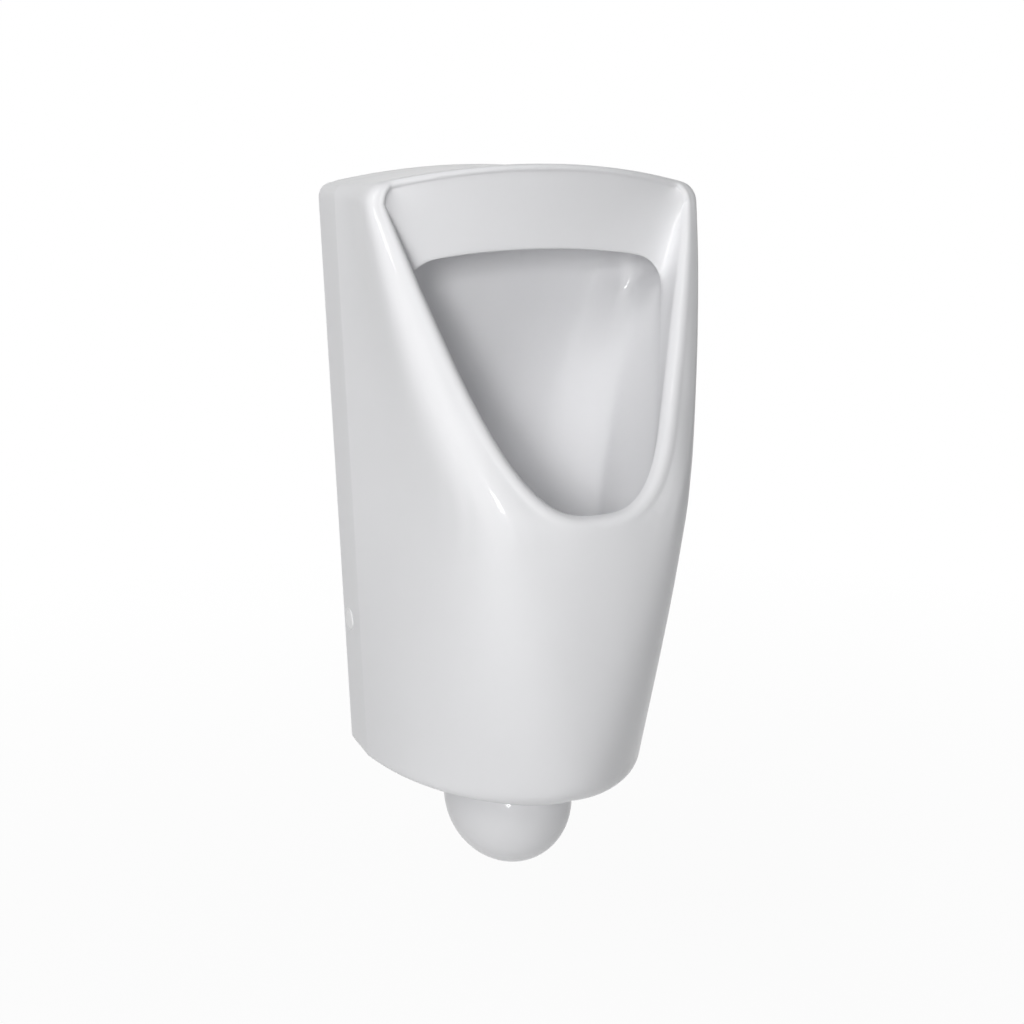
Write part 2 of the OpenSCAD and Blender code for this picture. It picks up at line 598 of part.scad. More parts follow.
// Lower fixing: a block on the wall each side, held by a wall screw and taking the side screw through the china
block_hole_r = 4.2;
block_sink = [8.5, 12];
block_screw_drop = 17;
block_screw_l = 66;
block_plug_l = 56;
side_bore = [2.9, 23];
side_hole_x = half_w(side_z);
collar_d_in = 6;
collar_rim = [9, 1.6];
collar_neck = [5.4, 8];
collar_bore_r = 3.1;
side_head = [4.6, 2.6];
side_shank = [2.85, 32];
cap_r = 11.2;
cap_edge_r = 9.6;
cap_t = [4.2, 0.7, 1];
cap_bore = [9.4, 3.2];
module fixing_block(s) difference() {
    translate([s * block_gap / 2 - block_w / 2, -block_d, side_z - block_drop])
        cube([block_w, block_d, block_h]);
    translate([s * block_gap / 2, over, side_z - block_screw_drop]) rotate([90, 0, 0])
        cylinder(r = block_hole_r, h = block_d + 2 * over);
    translate([s * block_gap / 2, -block_d + block_sink[1], side_z - block_screw_drop]) rotate([90, 0, 0])
        cylinder(r = block_sink[0], h = block_sink[1] + over);
    translate([s * (block_gap / 2 + block_w / 2 + over), -side_d, side_z]) rotate([0, -s * 90, 0])
        cylinder(r = side_bore[0], h = side_bore[1] + over);
}
module fixing_block_left() fixing_block(-1);
module fixing_block_right() fixing_block(1);
module each_block_hole() for (s = [-1, 1])
    translate([s * block_gap / 2, 0, side_z - block_screw_drop]) children();
module block_screws() each_block_hole() wall_screw(block_d - block_sink[1], screw_r, screw_af, block_screw_l);
module block_plugs() each_block_hole() plug(plug_r, plug_bore_r, block_plug_l);
module side_at(s) translate([s * side_hole_x, -side_d, side_z]) rotate([0, s * 90, 0]) children();
module side_collar() translate([0, 0, -collar_d_in]) difference() {
    union() {
        cylinder(r = collar_rim[0], h = collar_rim[1]);
        translate([0, 0, -collar_neck[1]]) cylinder(r = collar_neck[0], h = collar_neck[1] + over);
    }
    translate([0, 0, -collar_neck[1] - over])
        cylinder(r = collar_bore_r, h = collar_neck[1] + collar_rim[1] + 2 * over);
}
module side_screw() translate([0, 0, collar_rim[1] - collar_d_in]) {
    cylinder(r = side_head[0], h = side_head[1]);
    translate([0, 0, -side_shank[1]]) cylinder(r = side_shank[0], h = side_shank[1] + over);
}
module side_cap() difference() {
    translate([0, 0, -cap_t[0]]) union() {
        cylinder(r = cap_r, h = cap_t[0] + cap_t[1]);
        translate([0, 0, cap_t[0] + cap_t[1]]) cylinder(r1 = cap_r, r2 = cap_edge_r, h = cap_t[2]);
    }
    translate([0, 0, -cap_t[0] - over]) cylinder(r = cap_bore[0], h = cap_bore[1] + over);
}
module side_collars() for (s = [-1, 1]) side_at(s) side_collar();
module side_screws() for (s = [-1, 1]) side_at(s) side_screw();
module side_cap_left() side_at(-1) side_cap();
module side_cap_right() side_at(1) side_cap();

// Heights are counted from the bottom edge up to here, then from the outlet
module placed() translate([0, 0, -outlet_z]) children();
color(china) placed() china_body();
color(steel) placed() drain_strainer();
color(rubber) placed() strainer_ring();
color(steel) placed() spreader_head();
color(brass) placed() spreader_stem();
color(rubber) placed() front_washer();
color(rubber) placed() back_washer();
color(steel) placed() pressure_washer();
color(brass) placed() back_nut();
color(brass) placed() union_nut();
color(rubber) placed() union_ring();
color(brass) placed() supply_tail();
color(rubber) placed() outlet_seal();
color(nylon) placed() outlet_spigot();
color(steel) placed() hanger_left();
color(steel) placed() hanger_right();
color(steel) placed() hanger_screws();
color(steel) placed() hanger_washers();
color(nylon) placed() hanger_plugs();
color(nylon) placed() fixing_block_left();
color(nylon) placed() fixing_block_right();
color(steel) placed() block_screws();
color(nylon) placed() block_plugs();
color(steel) placed() side_screws();
color(nylon) placed() side_collars();
color(china) placed() side_cap_left();
color(china) placed() side_cap_right();
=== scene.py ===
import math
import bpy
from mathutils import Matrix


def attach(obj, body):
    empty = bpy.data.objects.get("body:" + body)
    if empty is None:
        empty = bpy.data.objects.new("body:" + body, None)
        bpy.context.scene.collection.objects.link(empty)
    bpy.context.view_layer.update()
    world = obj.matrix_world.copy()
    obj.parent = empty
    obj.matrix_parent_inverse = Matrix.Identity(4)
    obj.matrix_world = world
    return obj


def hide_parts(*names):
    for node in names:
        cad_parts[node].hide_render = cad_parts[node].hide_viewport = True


bl_info = {
    "name": "Wall hung urinal",
    "version": (1, 0, 0),
    "blender": (4, 5, 0),
    "location": "3D View > Sidebar > Urinal",
    "description": "Builds a wall hung urinal of glazed china with its strainer, inlet, outlet and fixings",
    "category": "Add Mesh",
}

import bmesh
import bpy
from bpy.props import FloatProperty, FloatVectorProperty, PointerProperty
from bpy.types import Operator, Panel, PropertyGroup
from mathutils import Matrix, Vector

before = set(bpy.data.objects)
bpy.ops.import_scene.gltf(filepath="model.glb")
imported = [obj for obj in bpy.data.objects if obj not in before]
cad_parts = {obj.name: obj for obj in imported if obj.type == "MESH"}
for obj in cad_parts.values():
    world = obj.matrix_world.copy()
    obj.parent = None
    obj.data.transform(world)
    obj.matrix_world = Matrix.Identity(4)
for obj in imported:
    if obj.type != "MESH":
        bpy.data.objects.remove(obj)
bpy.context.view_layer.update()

# Everything is modelled in millimetres with heights from the body's bottom edge, then moved into the frame.
MM = 0.001
TURN = 2 * math.pi
# The camera's focal length over the width of its sensor, as fitted to the photo.
FOCAL_SHARE = 1405.3 / 1024


def length(name, text, default):
    """A size of the urinal, in metres."""
    return FloatProperty(name=name, description=text, default=default, min=0, precision=4, unit="LENGTH")


def share(name, text, default):
    """A plain number between nothing and a few wholes."""
    return FloatProperty(name=name, description=text, default=default, min=0, precision=3)


def angle(name, text, degrees):
    """An angle, given in degrees."""
    return FloatProperty(name=name, description=text, default=math.radians(degrees), subtype="ANGLE")


def tint(name, text, default):
    """A surface colour."""
    return FloatVectorProperty(name=name, description=text, default=default, min=0, max=1, subtype="COLOR")


class UrinalSizes(PropertyGroup):
    """Sizes of the china body and of what is fitted to it."""

    body_h: length("Body height", "From the bottom edge to the crown of the top", 0.588)
    top_w: length("Top width", "Width of the body at the top", 0.330)
    bottom_w: length("Bottom width", "Width of the body at the bottom, against the wall", 0.292)
    side_band: length("Side band", "Depth of the flat band beside the wall", 0.054)
    bottom_d: length("Bottom depth", "Distance of the front from the wall at the bottom edge", 0.244)
    lip_d: length("Lip depth", "Distance of the lip from the wall", 0.289)
    lip_z: length("Lip height", "Height of the lip over the bottom edge", 0.281)
    top_d: length("Top depth", "Distance of the top front corners from the wall", 0.156)
    front_bow: length("Front belly", "How far the front below the lip bellies out", 0.0076)
    edge_front_r: length("Front edge rounding", "Rounding of the bottom edge at the front", 0.026)
    edge_wall_r: length("Wall edge rounding", "Rounding of the bottom edge beside the wall", 0.006)
    corner_rim_r: length("Rim corner rounding", "Rounding of the top corners at the rim", 0.022)
    corner_sweep: length("Rim sweep", "How far the rim runs back below its top corners", 0.011)
    corner_drop: length("Rim corner drop", "How far the rim runs back round its top corners", 0.008)
    corner_wall_r: length("Wall corner rounding", "Rounding of the top corners at the wall", 0.014)
    crown: angle("Crown", "Slope of the top where it meets its corners", 12)
    crest_w: length("Crest width", "Width over the rim's crest at the top", 0.331)
    crest_pow: share("Opening curve", "How fast the rim opens from the lip", 0.38)
    rim_w: length("Rim width", "Width of the rolled rim", 0.0132)
    rim_top_share: share("Rim share at the top", "Width of the rim along the top over its full width", 0.36)
    hood_z: length("Hood height", "Height of the hood's lower edge", 0.512)
    hood_d: length("Hood depth", "Distance of the hood's lower edge from the wall", 0.150)
    hood_half_w: length("Hood half width", "Half width of the opening under the hood", 0.129)
    hood_r: length("Hood rounding", "Rounding of the opening's upper corners", 0.034)
    hood_hollow: length("Hood hollow", "Depth of the hood's hollow sweep", 0.002)
    hood_bow: length("Hood bow", "How far the hood's edge runs forward towards its middle", 0.006)
    bowl_back_d: length("Bowl back", "Distance of the bowl's back from the wall", 0.038)
    recess_d: length("Back recess", "Depth of the recess in the back", 0.016)
    drain_d: length("Drain depth", "Distance of the drain from the wall", 0.098)
    drain_z: length("Drain height", "Height of the drain seat", 0.070)
    way_r: length("Waterway radius", "Radius of the trap's waterway", 0.021)
    bulb_d: length("Bulb depth", "Distance of the trap bulb's middle from the wall", 0.075)
    bulb_z: length("Bulb drop", "Depth of the bulb's middle under the bottom edge", 0.054)
    bulb_r: length("Bulb radius", "Radius of the bulb across", 0.066)
    bulb_half_l: length("Bulb half length", "Half length of the bulb from front to back", 0.076)
    bulb_tilt: angle("Bulb tilt", "Tilt of the bulb, its back end up", 23)
    bulb_fillet: length("Bulb fillet", "Fillet where the bulb runs out of the underside", 0.009)
    outlet_z: length("Outlet height", "Height of the outlet's axis over the bottom edge", 0.034)
    outlet_r: length("Outlet radius", "Radius of the outlet pipe", 0.025)
    inlet_z: length("Inlet height", "Height of the inlet's axis", 0.532)
    inlet_r: length("Inlet radius", "Radius of the inlet hole through the china", 0.0105)
    hanger_gap: length("Hanger spacing", "Distance between the two hangers", 0.190)
    hanger_z: length("Hanger height", "Height of the hangers' shelves", 0.452)
    block_gap: length("Block spacing", "Distance between the lower blocks' wall screws", 0.224)
    side_z: length("Side screw height", "Height of the side screws", 0.140)
    side_d: length("Side screw depth", "Distance of the side screws from the wall", 0.021)


class UrinalFinishes(PropertyGroup):
    """Colours and gloss of the urinal's materials."""

    glaze: tint("Glaze", "White glaze of the body", (0.89, 0.89, 0.904))
    glaze_rough: share("Glaze roughness", "Roughness under the glaze's gloss", 0.35)
    biscuit: tint("Bare china", "Unglazed china on the back", (0.66, 0.62, 0.56))
    cap: tint("Cap", "Glossy plastic of the side caps", (0.87, 0.872, 0.877))
    steel: tint("Strainer steel", "Brushed steel of the strainer", (0.56, 0.57, 0.59))
    chrome: tint("Chrome", "Polished plating of the spreader", (0.78, 0.79, 0.81))
    zinc: tint("Zinc", "Zinc plating of hangers and screws", (0.55, 0.57, 0.60))
    brass: tint("Brass", "Satin brass of the stem and nuts", (0.70, 0.52, 0.24))
    rubber: tint("Rubber", "Black rubber of washers and seals", (0.022, 0.022, 0.024))
    nylon: tint("Nylon", "Pale nylon of plugs and blocks", (0.62, 0.62, 0.60))
    pipe: tint("Pipe", "Grey plastic of the outlet spigot", (0.30, 0.32, 0.34))


def mix(a, b, t):
    return a + (b - a) * t


def clamp(t):
    return min(1.0, max(0.0, t))


def ease(t):
    s = clamp(t)
    return s * s * (3 - 2 * s)


def soft_max(a, b, k):
    return (a + b + math.sqrt((a - b) ** 2 + k * k) - k) / 2


def cubic(p, q, r, s, t):
    """A point of the cubic curve with those four control points."""
    return p * (1 - t) ** 3 + q * (3 * t * (1 - t) ** 2) + r * (3 * t * t * (1 - t)) + s * t ** 3


def smooth_line(stations, steps):
    """Points on one smooth curve through the stations, with that many steps after each."""
    line = []
    last = len(stations) - 1
    for n in range(last):
        p1, p2 = stations[n], stations[n + 1]
        p0 = stations[n - 1] if n else p1 + (p1 - p2)
        p3 = stations[n + 2] if n + 2 <= last else p2 + (p2 - p1)
        d1 = max(1e-4, (p1 - p0).length) ** 0.5
        d2 = max(1e-4, (p2 - p1).length) ** 0.5
        d3 = max(1e-4, (p3 - p2).length) ** 0.5
        m1 = (p2 - p1) + ((p1 - p0) / d1 - (p2 - p0) / (d1 + d2)) * d2
        m2 = (p2 - p1) + ((p3 - p2) / d3 - (p3 - p1) / (d2 + d3)) * d2
        for k in range(steps[n]):
            t = k / steps[n]
            line.append(p1 * (2 * t ** 3 - 3 * t * t + 1) + m1 * (t ** 3 - 2 * t * t + t)
                        + p2 * (3 * t * t - 2 * t ** 3) + m2 * (t ** 3 - t * t))
    return line + [stations[last]]


def remembered(method):
    """Keeps what a method has worked out, by its arguments."""
    def recall(self, *args):
        key = (method.__name__, *args)
        if key not in self.known:
            self.known[key] = method(self, *args)
        return self.known[key]
    return recall


class BodyForm:
    """Works out points of the china body in millimetres: width from the middle, distance from the wall,
    height.

    A loop of the body runs from the middle of the lip (station 0) down to the corner of the side (FAN), up the
    side (SIDE), round the top corner (CORNER) and on to the middle of the top (HALF).
    """

    FAN, SIDE, CORNER, HALF = 13, 23, 28, 33
    # How the front's curve leaves the side band, and how full it is, at the bottom edge, the lip and the top.
    TOES = (9, 14.5, 9.5)
    REACHES = (0.67, 0.98, 0.88)
    NOSES = (0.31, 0.82, 1.42)
    # Where the rows and columns of the body lie along its surfaces.
    WALL_SHARES = (0, 0.11, 0.22, 0.34, 0.46, 0.58, 0.71, 0.85, 1)
    ROLL_SHARES = ((0.15, 0.06), (0.34, 0.1), (0.57, 0.08), (0.76, -0.03), (0.91, -0.18), (1.02, -0.37),
                   (1.12, -0.6))
    SKIN_SHARES = (1, 0.993, 0.978, 0.952, 0.915, 0.86, 0.78, 0.68, 0.56, 0.43, 0.31, 0.2, 0.12, 0.065, 0.028)
    HOOD_SHARES = (0.2, 0.4, 0.6, 0.8, 0.94)
    BOWL_SHARES = (0.04, 0.1, 0.17, 0.25, 0.34, 0.43, 0.52, 0.61, 0.7, 0.78, 0.86, 0.93, 1)
    # How far the rim's crest and the front above the lip leave straight lines.
    CREST_IN, CREST_BACK, CREST_HOLLOW, CREST_REACH = 4, 9, 3.2, 345
    CREST_SHARE = 0.4
    FRONT_SLOPE, FRONT_FLARE, FRONT_BELLY = 18.6, 37, 7.7
    SHOULDER, SHOULDER_SHARE = 150, 0.09
    THROAT_DROP, THROAT_GAP, TOP_LIP = 16, 22, 2
    # The undercut behind the throat, each row as outwards, backwards and down, and the bowl below it.
    UNDERCUTS = ((2, 5, 6), (14, 10, 14), (26, 26, 26), (30, 58, 44))
    BOWL_HALF_W, BOWL_FOOT_HALF_W, BOWL_CORNER = 136, 68, 0.66
    # Radius and height over the drain seat of the rings that the bowl ends in.
    FOOT_RING, SEAT_RINGS = (43, 4), ((41, 0.8), (38, 0))
    RECESS_EDGE, RECESS_LOW_Z = 22, 84
    NO_LENGTHS = ("crown", "crest_pow", "bulb_tilt", "rim_top_share")

    def __init__(self, sizes):
        for name in sizes.__annotations__:
            value = getattr(sizes, name)
            setattr(self, name, value if name in self.NO_LENGTHS else value / MM)
        self.cut = math.atan((self.lip_d - self.top_d) / (self.body_h - self.lip_z))
        self.forward = Vector((0, math.cos(self.cut), math.sin(self.cut)))
        self.rim_side_z = self.body_h - self.crown_top(self.crest_w / 2 * 0.955, self.corner_rim_r)
        self.wall_side_z = self.body_h - self.crown_top(self.top_w / 2 * 0.996, self.corner_wall_r)
        self.throat_lip_z = self.lip_z - self.THROAT_DROP
        self.throat_side_z = (self.hood_z - self.hood_r * math.cos(self.crown)
                              - math.tan(self.crown) * (self.hood_half_w - self.hood_r) * 0.35)
        self.known = {}

    def crown_top(self, x, r):
        return r * math.cos(self.crown) + math.tan(self.crown) * (x - r + r * math.sin(self.crown)) / 2

    def half_w(self, z):
        return mix(self.bottom_w, self.top_w, z / self.body_h) / 2

    def high(self, z):
        return (z - self.lip_z) / (self.body_h - self.lip_z)

    def crest_x(self, z):
        if z <= self.lip_z:
            return 0
        s = self.high(z)
        return self.crest_w / 2 * s ** self.crest_pow - self.CREST_IN * ease(s / self.CREST_SHARE)

    def sweep(self, z):
        s = self.high(z)
        return self.corner_sweep * max(0, 4 * s - 3) ** 2 + self.CREST_BACK * ease(s / self.CREST_SHARE)

    def crest_y(self, z):
        s = self.high(z)
        return mix(self.lip_d, self.top_d, s) - 4 * self.CREST_HOLLOW * s * (1 - s) - self.sweep(z)

    def front_y(self, z):
        if z <= self.lip_z:
            s = z / self.lip_z
            return mix(self.bottom_d, self.lip_d, s) + 4 * self.front_bow * s * (1 - s)
        s = self.high(z)
        return (self.crest_y(z) + self.sweep(z) - self.FRONT_SLOPE * s + self.FRONT_FLARE * s * s
                + self.FRONT_BELLY * math.sin(math.pi * s)
                + self.SHOULDER * s * math.exp(-s / self.SHOULDER_SHARE))

    def three(self, values, z):
        if z <= self.lip_z:
            return mix(values[0], values[1], z / self.lip_z)
        return mix(values[1], values[2], self.high(z))

    def nose(self, z):
        s = self.high(z)
        return self.three(self.NOSES, z) + (0 if z <= self.lip_z else 0.65 * s * (1 - s))

    def section(self, t, z):
        a, d = self.half_w(z), self.front_y(z)
        k = self.three(self.REACHES, z) * (d - self.side_band)
        e = math.radians(self.three(self.TOES, z))
        return cubic(Vector((a, self.side_band)),
                     Vector((a - k * math.sin(e), self.side_band + k * math.cos(e))),
                     Vector((self.nose(z) * a, d)), Vector((0, d)), t)

    def crest_share(self, z):
        return 1 - self.crest_x(z) / self.CREST_REACH

    def edge_in(self, q, z):
        r = mix(self.edge_wall_r, self.edge_front_r, q * q)
        return 0 if z >= r else r - math.sqrt(max(0, r * r - (r - z) ** 2))

    def skin(self, q, z):
        p, e = self.section(q, z), self.edge_in(q, z)
        return Vector((p[0] * (1 - e / self.half_w(z)), p[1] * (1 - e / self.front_y(z)), z))

    def round_top(self, end, r, i, share, narrow=1):
        """Carries a loop round the top corner and along the crowned top, from the end point of its side."""
        drop, bow = self.corner_drop * share, (self.corner_drop + self.corner_sweep - self.TOP_LIP) * share
        if i <= self.CORNER:
            a = (math.pi / 2 - self.crown) * (i - self.SIDE) / (self.CORNER - self.SIDE)
            return Vector((end[0] - r * narrow * (1 - math.cos(a)), end[1] - drop * (1 - math.cos(a)),
                           end[2] + r * math.sin(a)))
        x = end[0] - r * narrow * (1 - math.sin(self.crown))
        s = 1 - (i - self.CORNER) / (self.HALF - self.CORNER)
        return Vector((x * s, end[1] - drop * (1 - math.sin(self.crown)) + bow * (1 - s * s),
                       end[2] + r * math.cos(self.crown) + math.tan(self.crown) * x / 2 * (1 - s * s)))

    def crest_z(self, i):
        return self.lip_z + (self.rim_side_z - self.lip_z) * (i / self.SIDE) ** 2

    def wall_z(self, i):
        if i <= self.FAN:
            return 0
        if i <= self.FAN + 2:
            a = math.pi / 2 * (i - self.FAN) / 2
            return self.edge_wall_r * (1 - math.cos(a))
        u = i - self.FAN - 2
        n = min(7, int(u))
        s = mix(self.WALL_SHARES[n], self.WALL_SHARES[n + 1], u - n)
        return mix(self.edge_wall_r, self.wall_side_z, s)

    def wall_q(self, i):
        return 1 - i / self.FAN if i <= self.FAN else 0

    def outer_side(self, i, v):
        c = self.crest_z(i)
        z, q = mix(c, self.wall_z(i), v), mix(self.crest_share(c), self.wall_q(i), v)
        lift = Vector((self.crest_x(c), self.crest_y(c), c)) - self.skin(self.crest_share(c), c)
        return self.skin(q, z) + lift * max(0, 1 - v / 0.5) ** 2

    @remembered
    def outer(self, i, v):
        """The outer skin, v running from the rim's crest to the side band."""
        if i <= self.SIDE:
            return self.outer_side(i, v)
        end = self.outer_side(self.SIDE, v)
        s = end[1] / self.outer_side(self.SIDE, 0)[1]
        return self.round_top(end, mix(self.corner_rim_r, self.corner_wall_r, v), i, s, mix(0.8, 1, v))

    def band(self, i, w):
        """The flat side band and the underside, w running to the wall."""
        if i < self.FAN:
            p = self.skin(self.wall_q(i), 0)
            flat = (self.half_w(0) - self.edge_wall_r) * i / self.FAN
            return Vector((mix(p[0], flat, ease(w)), p[1] * (1 - w), 0))
        p = self.skin(0, self.wall_z(i) if i <= self.SIDE else self.wall_side_z)
        p = Vector((p[0], p[1] * (1 - w), p[2]))
        if i <= self.SIDE:
            return p
        return self.round_top(p, self.corner_wall_r, i, p[1] / self.outer_side(self.SIDE, 0)[1])

    def heading(self, line, i):
        """Direction of a loop at a station, seen from the front."""
        if i == 0:
            return Vector((1, 0))
        if i == self.HALF:
            return Vector((-1, 0))
        p, n = line(max(0, i - 1)), line(min(self.HALF, i + 1))
        return Vector((n[0] - p[0], n[2] - p[2])).normalized()

    def roll(self, i, inwards, forwards):
        t = self.heading(lambda j: self.outer(j, 0), i)
        inward = Vector((-t[1], -math.tan(self.cut) * t[0], t[0])).normalized()
        wide = self.rim_w * mix(1, self.rim_top_share, ease((i - 17) / 9))
        return self.outer(i, 0) + (inward * inwards + self.forward * forwards) * wide

    @remembered
    def rim_in(self, i):
        return self.roll(i, *self.ROLL_SHARES[-1])

    def throat_side(self, i):
        p, e, l = self.rim_in(i), self.rim_in(self.SIDE), self.rim_in(0)
        u = max(0, (p[2] - l[2]) / (e[2] - l[2]))
        z = mix(self.throat_lip_z, self.throat_side_z, u)
        g = self.crest_y(self.throat_side_z) - self.hood_d - self.THROAT_GAP
        return Vector((self.hood_half_w * u ** (self.crest_pow + 0.02),
                       self.crest_y(max(z, self.lip_z)) - self.THROAT_GAP - g * u ** 0.7, z))

    @remembered
    def throat(self, i):
        """Lower edge of the hood, and of the flush rim that runs on down both sides."""
        if i <= self.SIDE:
            return self.throat_side(i)
        e = self.throat_side(self.SIDE)
        c = self.round_top(e, self.hood_r, i, 0)
        t = (e[0] - c[0]) / e[0]
        rise = max(0, c[2] - e[2] - self.hood_r)
        return Vector((c[0], c[1] + self.hood_bow * t * (2 - t), c[2] - rise * 0.3))

    def hood(self, i, t):
        hollow = self.hood_hollow * ease(i / self.SIDE) * 4 * t * (1 - t)
        return self.rim_in(i).lerp(self.throat(i), t) - Vector((0, hollow, 0))

    def under(self, i, out, back, low):
        """The undercut behind that edge."""
        t, s = self.heading(self.throat, i), ease(i / self.CORNER)
        o = out * mix(0.22, 1, max(0, -t[0])) * ease(i / 8)
        return self.throat(i) + Vector((t[1] * o, -back * mix(0.25, 1, s), -t[0] * o - low * (1 - s)))

    def drain_pt(self, i, r, up):
        a = math.pi * i / self.HALF
        return Vector((r * math.sin(a), self.drain_d + r * math.cos(a), self.drain_z + up))

    def bowl_line(self, i, t):
        p, s = self.under(i, *self.UNDERCUTS[-1]), ease(i / self.CORNER)
        d, f = self.drain_pt(i, *self.FOOT_RING), math.sin(math.pi * i / self.HALF)
        back = self.bowl_back_d
        return cubic(p,
                     Vector((p[0] * mix(0.96, 1, s), mix(p[1] - 10, back - 6, ease(i / 22)),
                             p[2] - mix(90, -6, ease(i / 26)))),
                     Vector((d[0] + 62 * f, mix(d[1] + 62, back - 12, ease(i / 26)),
                             self.drain_z + mix(8, 46, ease(i / 26)))),
                     d, t)

    def bowl(self, i, t):
        """A point of the bowl, drawn in onto the wide sweep that turns the bowl's back into its sides."""
        p = self.bowl_line(i, t)
        k = ease(t / 0.12) * ease((1 - t) / 0.15)
        w = mix(self.BOWL_FOOT_HALF_W, self.BOWL_HALF_W,
                clamp((p[2] - self.drain_z) / (self.throat_side_z - self.drain_z)))
        r = self.BOWL_CORNER * w
        d = soft_max(p[1], mix(p[1], self.bowl_back_d, k), 16 * k)
        v = Vector((p[0] - w + r, d - self.bowl_back_d - r))
        s = k * ease(-4 * v[1] / r) * ease(4 * v[0] / r)
        m = mix(1, r / v.length, s) if v.length > r else 1
        return Vector((w - r + v[0] * m, self.bowl_back_d + r + v[1] * m, p[2]))

    def recess(self, i, d):
        p = self.band(i, 1)
        k = 1 - self.RECESS_EDGE / self.half_w(p[2])
        z = mix(self.RECESS_LOW_Z, self.body_h - self.RECESS_EDGE, p[2] / self.body_h)
        return Vector((p[0] * k, d, z))

    def column(self, i):
        """All stations of one column, from the back recess over the skin and rim down to the drain."""
        c = [self.recess(i, self.recess_d), self.recess(i, 0)]
        c += [self.band(i, w) for w in (1, 0.66, 0.33)]
        c += [self.outer(i, v) for v in self.SKIN_SHARES]
        c += [self.outer(i, 0)]
        c += [self.roll(i, *k) for k in self.ROLL_SHARES]
        c += [self.hood(i, t) for t in self.HOOD_SHARES]
        c += [self.throat(i)] + [self.under(i, *k) for k in self.UNDERCUTS[:-1]]
        c += [self.bowl(i, t) for t in self.BOWL_SHARES]
        return c + [self.drain_pt(i, *k) for k in self.SEAT_RINGS]


# Steps of the body's grid after each station of a column.
STEPS = [1] * 2 + [2] * 3 + [4] * 15 + [3] * 7 + [4] * 5 + [3] * 4 + [4] * 13 + [3] * 2
SIDES = (("left", -1), ("right", 1))
# Quarter turns from the upright axis to each way, and the axis that they go round.
WAYS = {"up": (0, "X"), "wall": (-1, "X"), "front": (1, "X"), "left": (-1, "Y"), "right": (1, "Y")}


def row_of(station):
    """Row of the body's grid that a station of a column falls on."""
    return sum(STEPS[:station])


def set_down(name, bm):
    """A new object of the scene with a bmesh's shape."""
    mesh = bpy.data.meshes.new(name)
    bm.to_mesh(mesh)
    obj = bpy.data.objects.new(name, mesh)
    bpy.context.scene.collection.objects.link(obj)
    return obj


def grow(bm, name, slot, node, *finishes, body="fixture", smooth_deg=38):
    """Makes a bmesh in millimetres into a finished piece that rides on a body and stands for a CAD node."""
    bmesh.ops.scale(bm, vec=(MM, MM, MM), verts=bm.verts)
    move(bm, bm.verts, (0, 0, -bpy.context.scene.urinal_sizes.outlet_z))
    limit = math.radians(smooth_deg)
    for f in bm.faces:
        f.smooth = True
    for e in bm.edges:
        e.smooth = len(e.link_faces) != 2 or e.calc_face_angle(0) < limit
    obj = set_down(name, bm)
    bm.free()
    for finish in finishes:
        obj.data.materials.append(material(finish))
    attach(obj, body)
    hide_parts(node)


def closed(bm):
    """Merges doubles and turns every face outwards."""
    bmesh.ops.remove_doubles(bm, verts=bm.verts, dist=0.002)
    bmesh.ops.recalc_face_normals(bm, faces=bm.faces)
    return bm


def newer(bm, before):
    """Vertices that weren't there before."""
    return [v for v in bm.verts if v not in before]


def move(bm, verts, way):
    """Moves vertices."""
    bmesh.ops.translate(bm, verts=verts, vec=way)


def fill_holes(bm):
    """Closes every open end."""
    bmesh.ops.holes_fill(bm, edges=[e for e in bm.edges if e.is_boundary], sides=0)


def rounded(profile, r, steps=3, loop=True):
    """The profile with its corners rounded by r, or by less where its lines are short."""
    pts = [Vector(p) for p in profile]
    made, n = [], len(pts)
    for k, p in enumerate(pts):
        if not loop and k in (0, n - 1) or p[0] == 0:
            made.append(p)
            continue
        a, b = pts[k - 1] - p, pts[(k + 1) % n] - p
        half = a.angle(b) / 2
        if half > math.radians(86):
            made.append(p)
            continue
        cut = min(r / math.tan(half), a.length * 0.45, b.length * 0.45)
        p1, p2 = p + a.normalized() * cut, p + b.normalized() * cut
        for s in range(steps + 1):
            t = s / steps
            made.append(p1 * (1 - t) ** 2 + p * (2 * t * (1 - t)) + p2 * t * t)
    return made


def lathe(bm, profile, r=0.4, steps=64, loop=True):
    """Spins a profile of radius and height round the upright axis and returns its vertices."""
    line = rounded(profile, r, loop=loop) if r else [Vector(p) for p in profile]
    verts = [bm.verts.new((p[0], 0, p[1])) for p in line]
    before = set(bm.verts) - set(verts)
    edges = [bm.edges.new(pair) for pair in zip(verts, verts[1:] + verts[:1] if loop else verts[1:])]
    bmesh.ops.spin(bm, geom=verts + edges, cent=(0, 0, 0), axis=(0, 0, 1), angle=TURN, steps=steps,
                   use_merge=True)
    bmesh.ops.remove_doubles(bm, verts=newer(bm, before), dist=0.001)
    return newer(bm, before)


def turn(bm, verts, angle, axis="Z"):
    """Turns vertices round the origin."""
    bmesh.ops.rotate(bm, verts=verts, cent=(0, 0, 0), matrix=Matrix.Rotation(angle, 3, axis))


def lie(bm, verts, way, at):
    """Turns vertices from the upright axis to the way given, and moves them to their place."""
    quarters, axis = WAYS[way]
    turn(bm, verts, math.pi / 2 * quarters, axis)
    move(bm, verts, at)
    return verts


def turned(profile, at, r=0.5, steps=64, way="wall", loop=True):
    """A closed shape spun from a profile and laid in its place."""
    bm = bmesh.new()
    lie(bm, lathe(bm, profile, r=r, steps=steps, loop=loop), way, at)
    return closed(bm)


def drawn(bm, face, way):
    """Extrudes a face and returns its new end."""
    made = bmesh.ops.extrude_face_region(bm, geom=[face])["geom"]
    move(bm, [g for g in made if isinstance(g, bmesh.types.BMVert)], way)
    return next(g for g in made if isinstance(g, bmesh.types.BMFace))


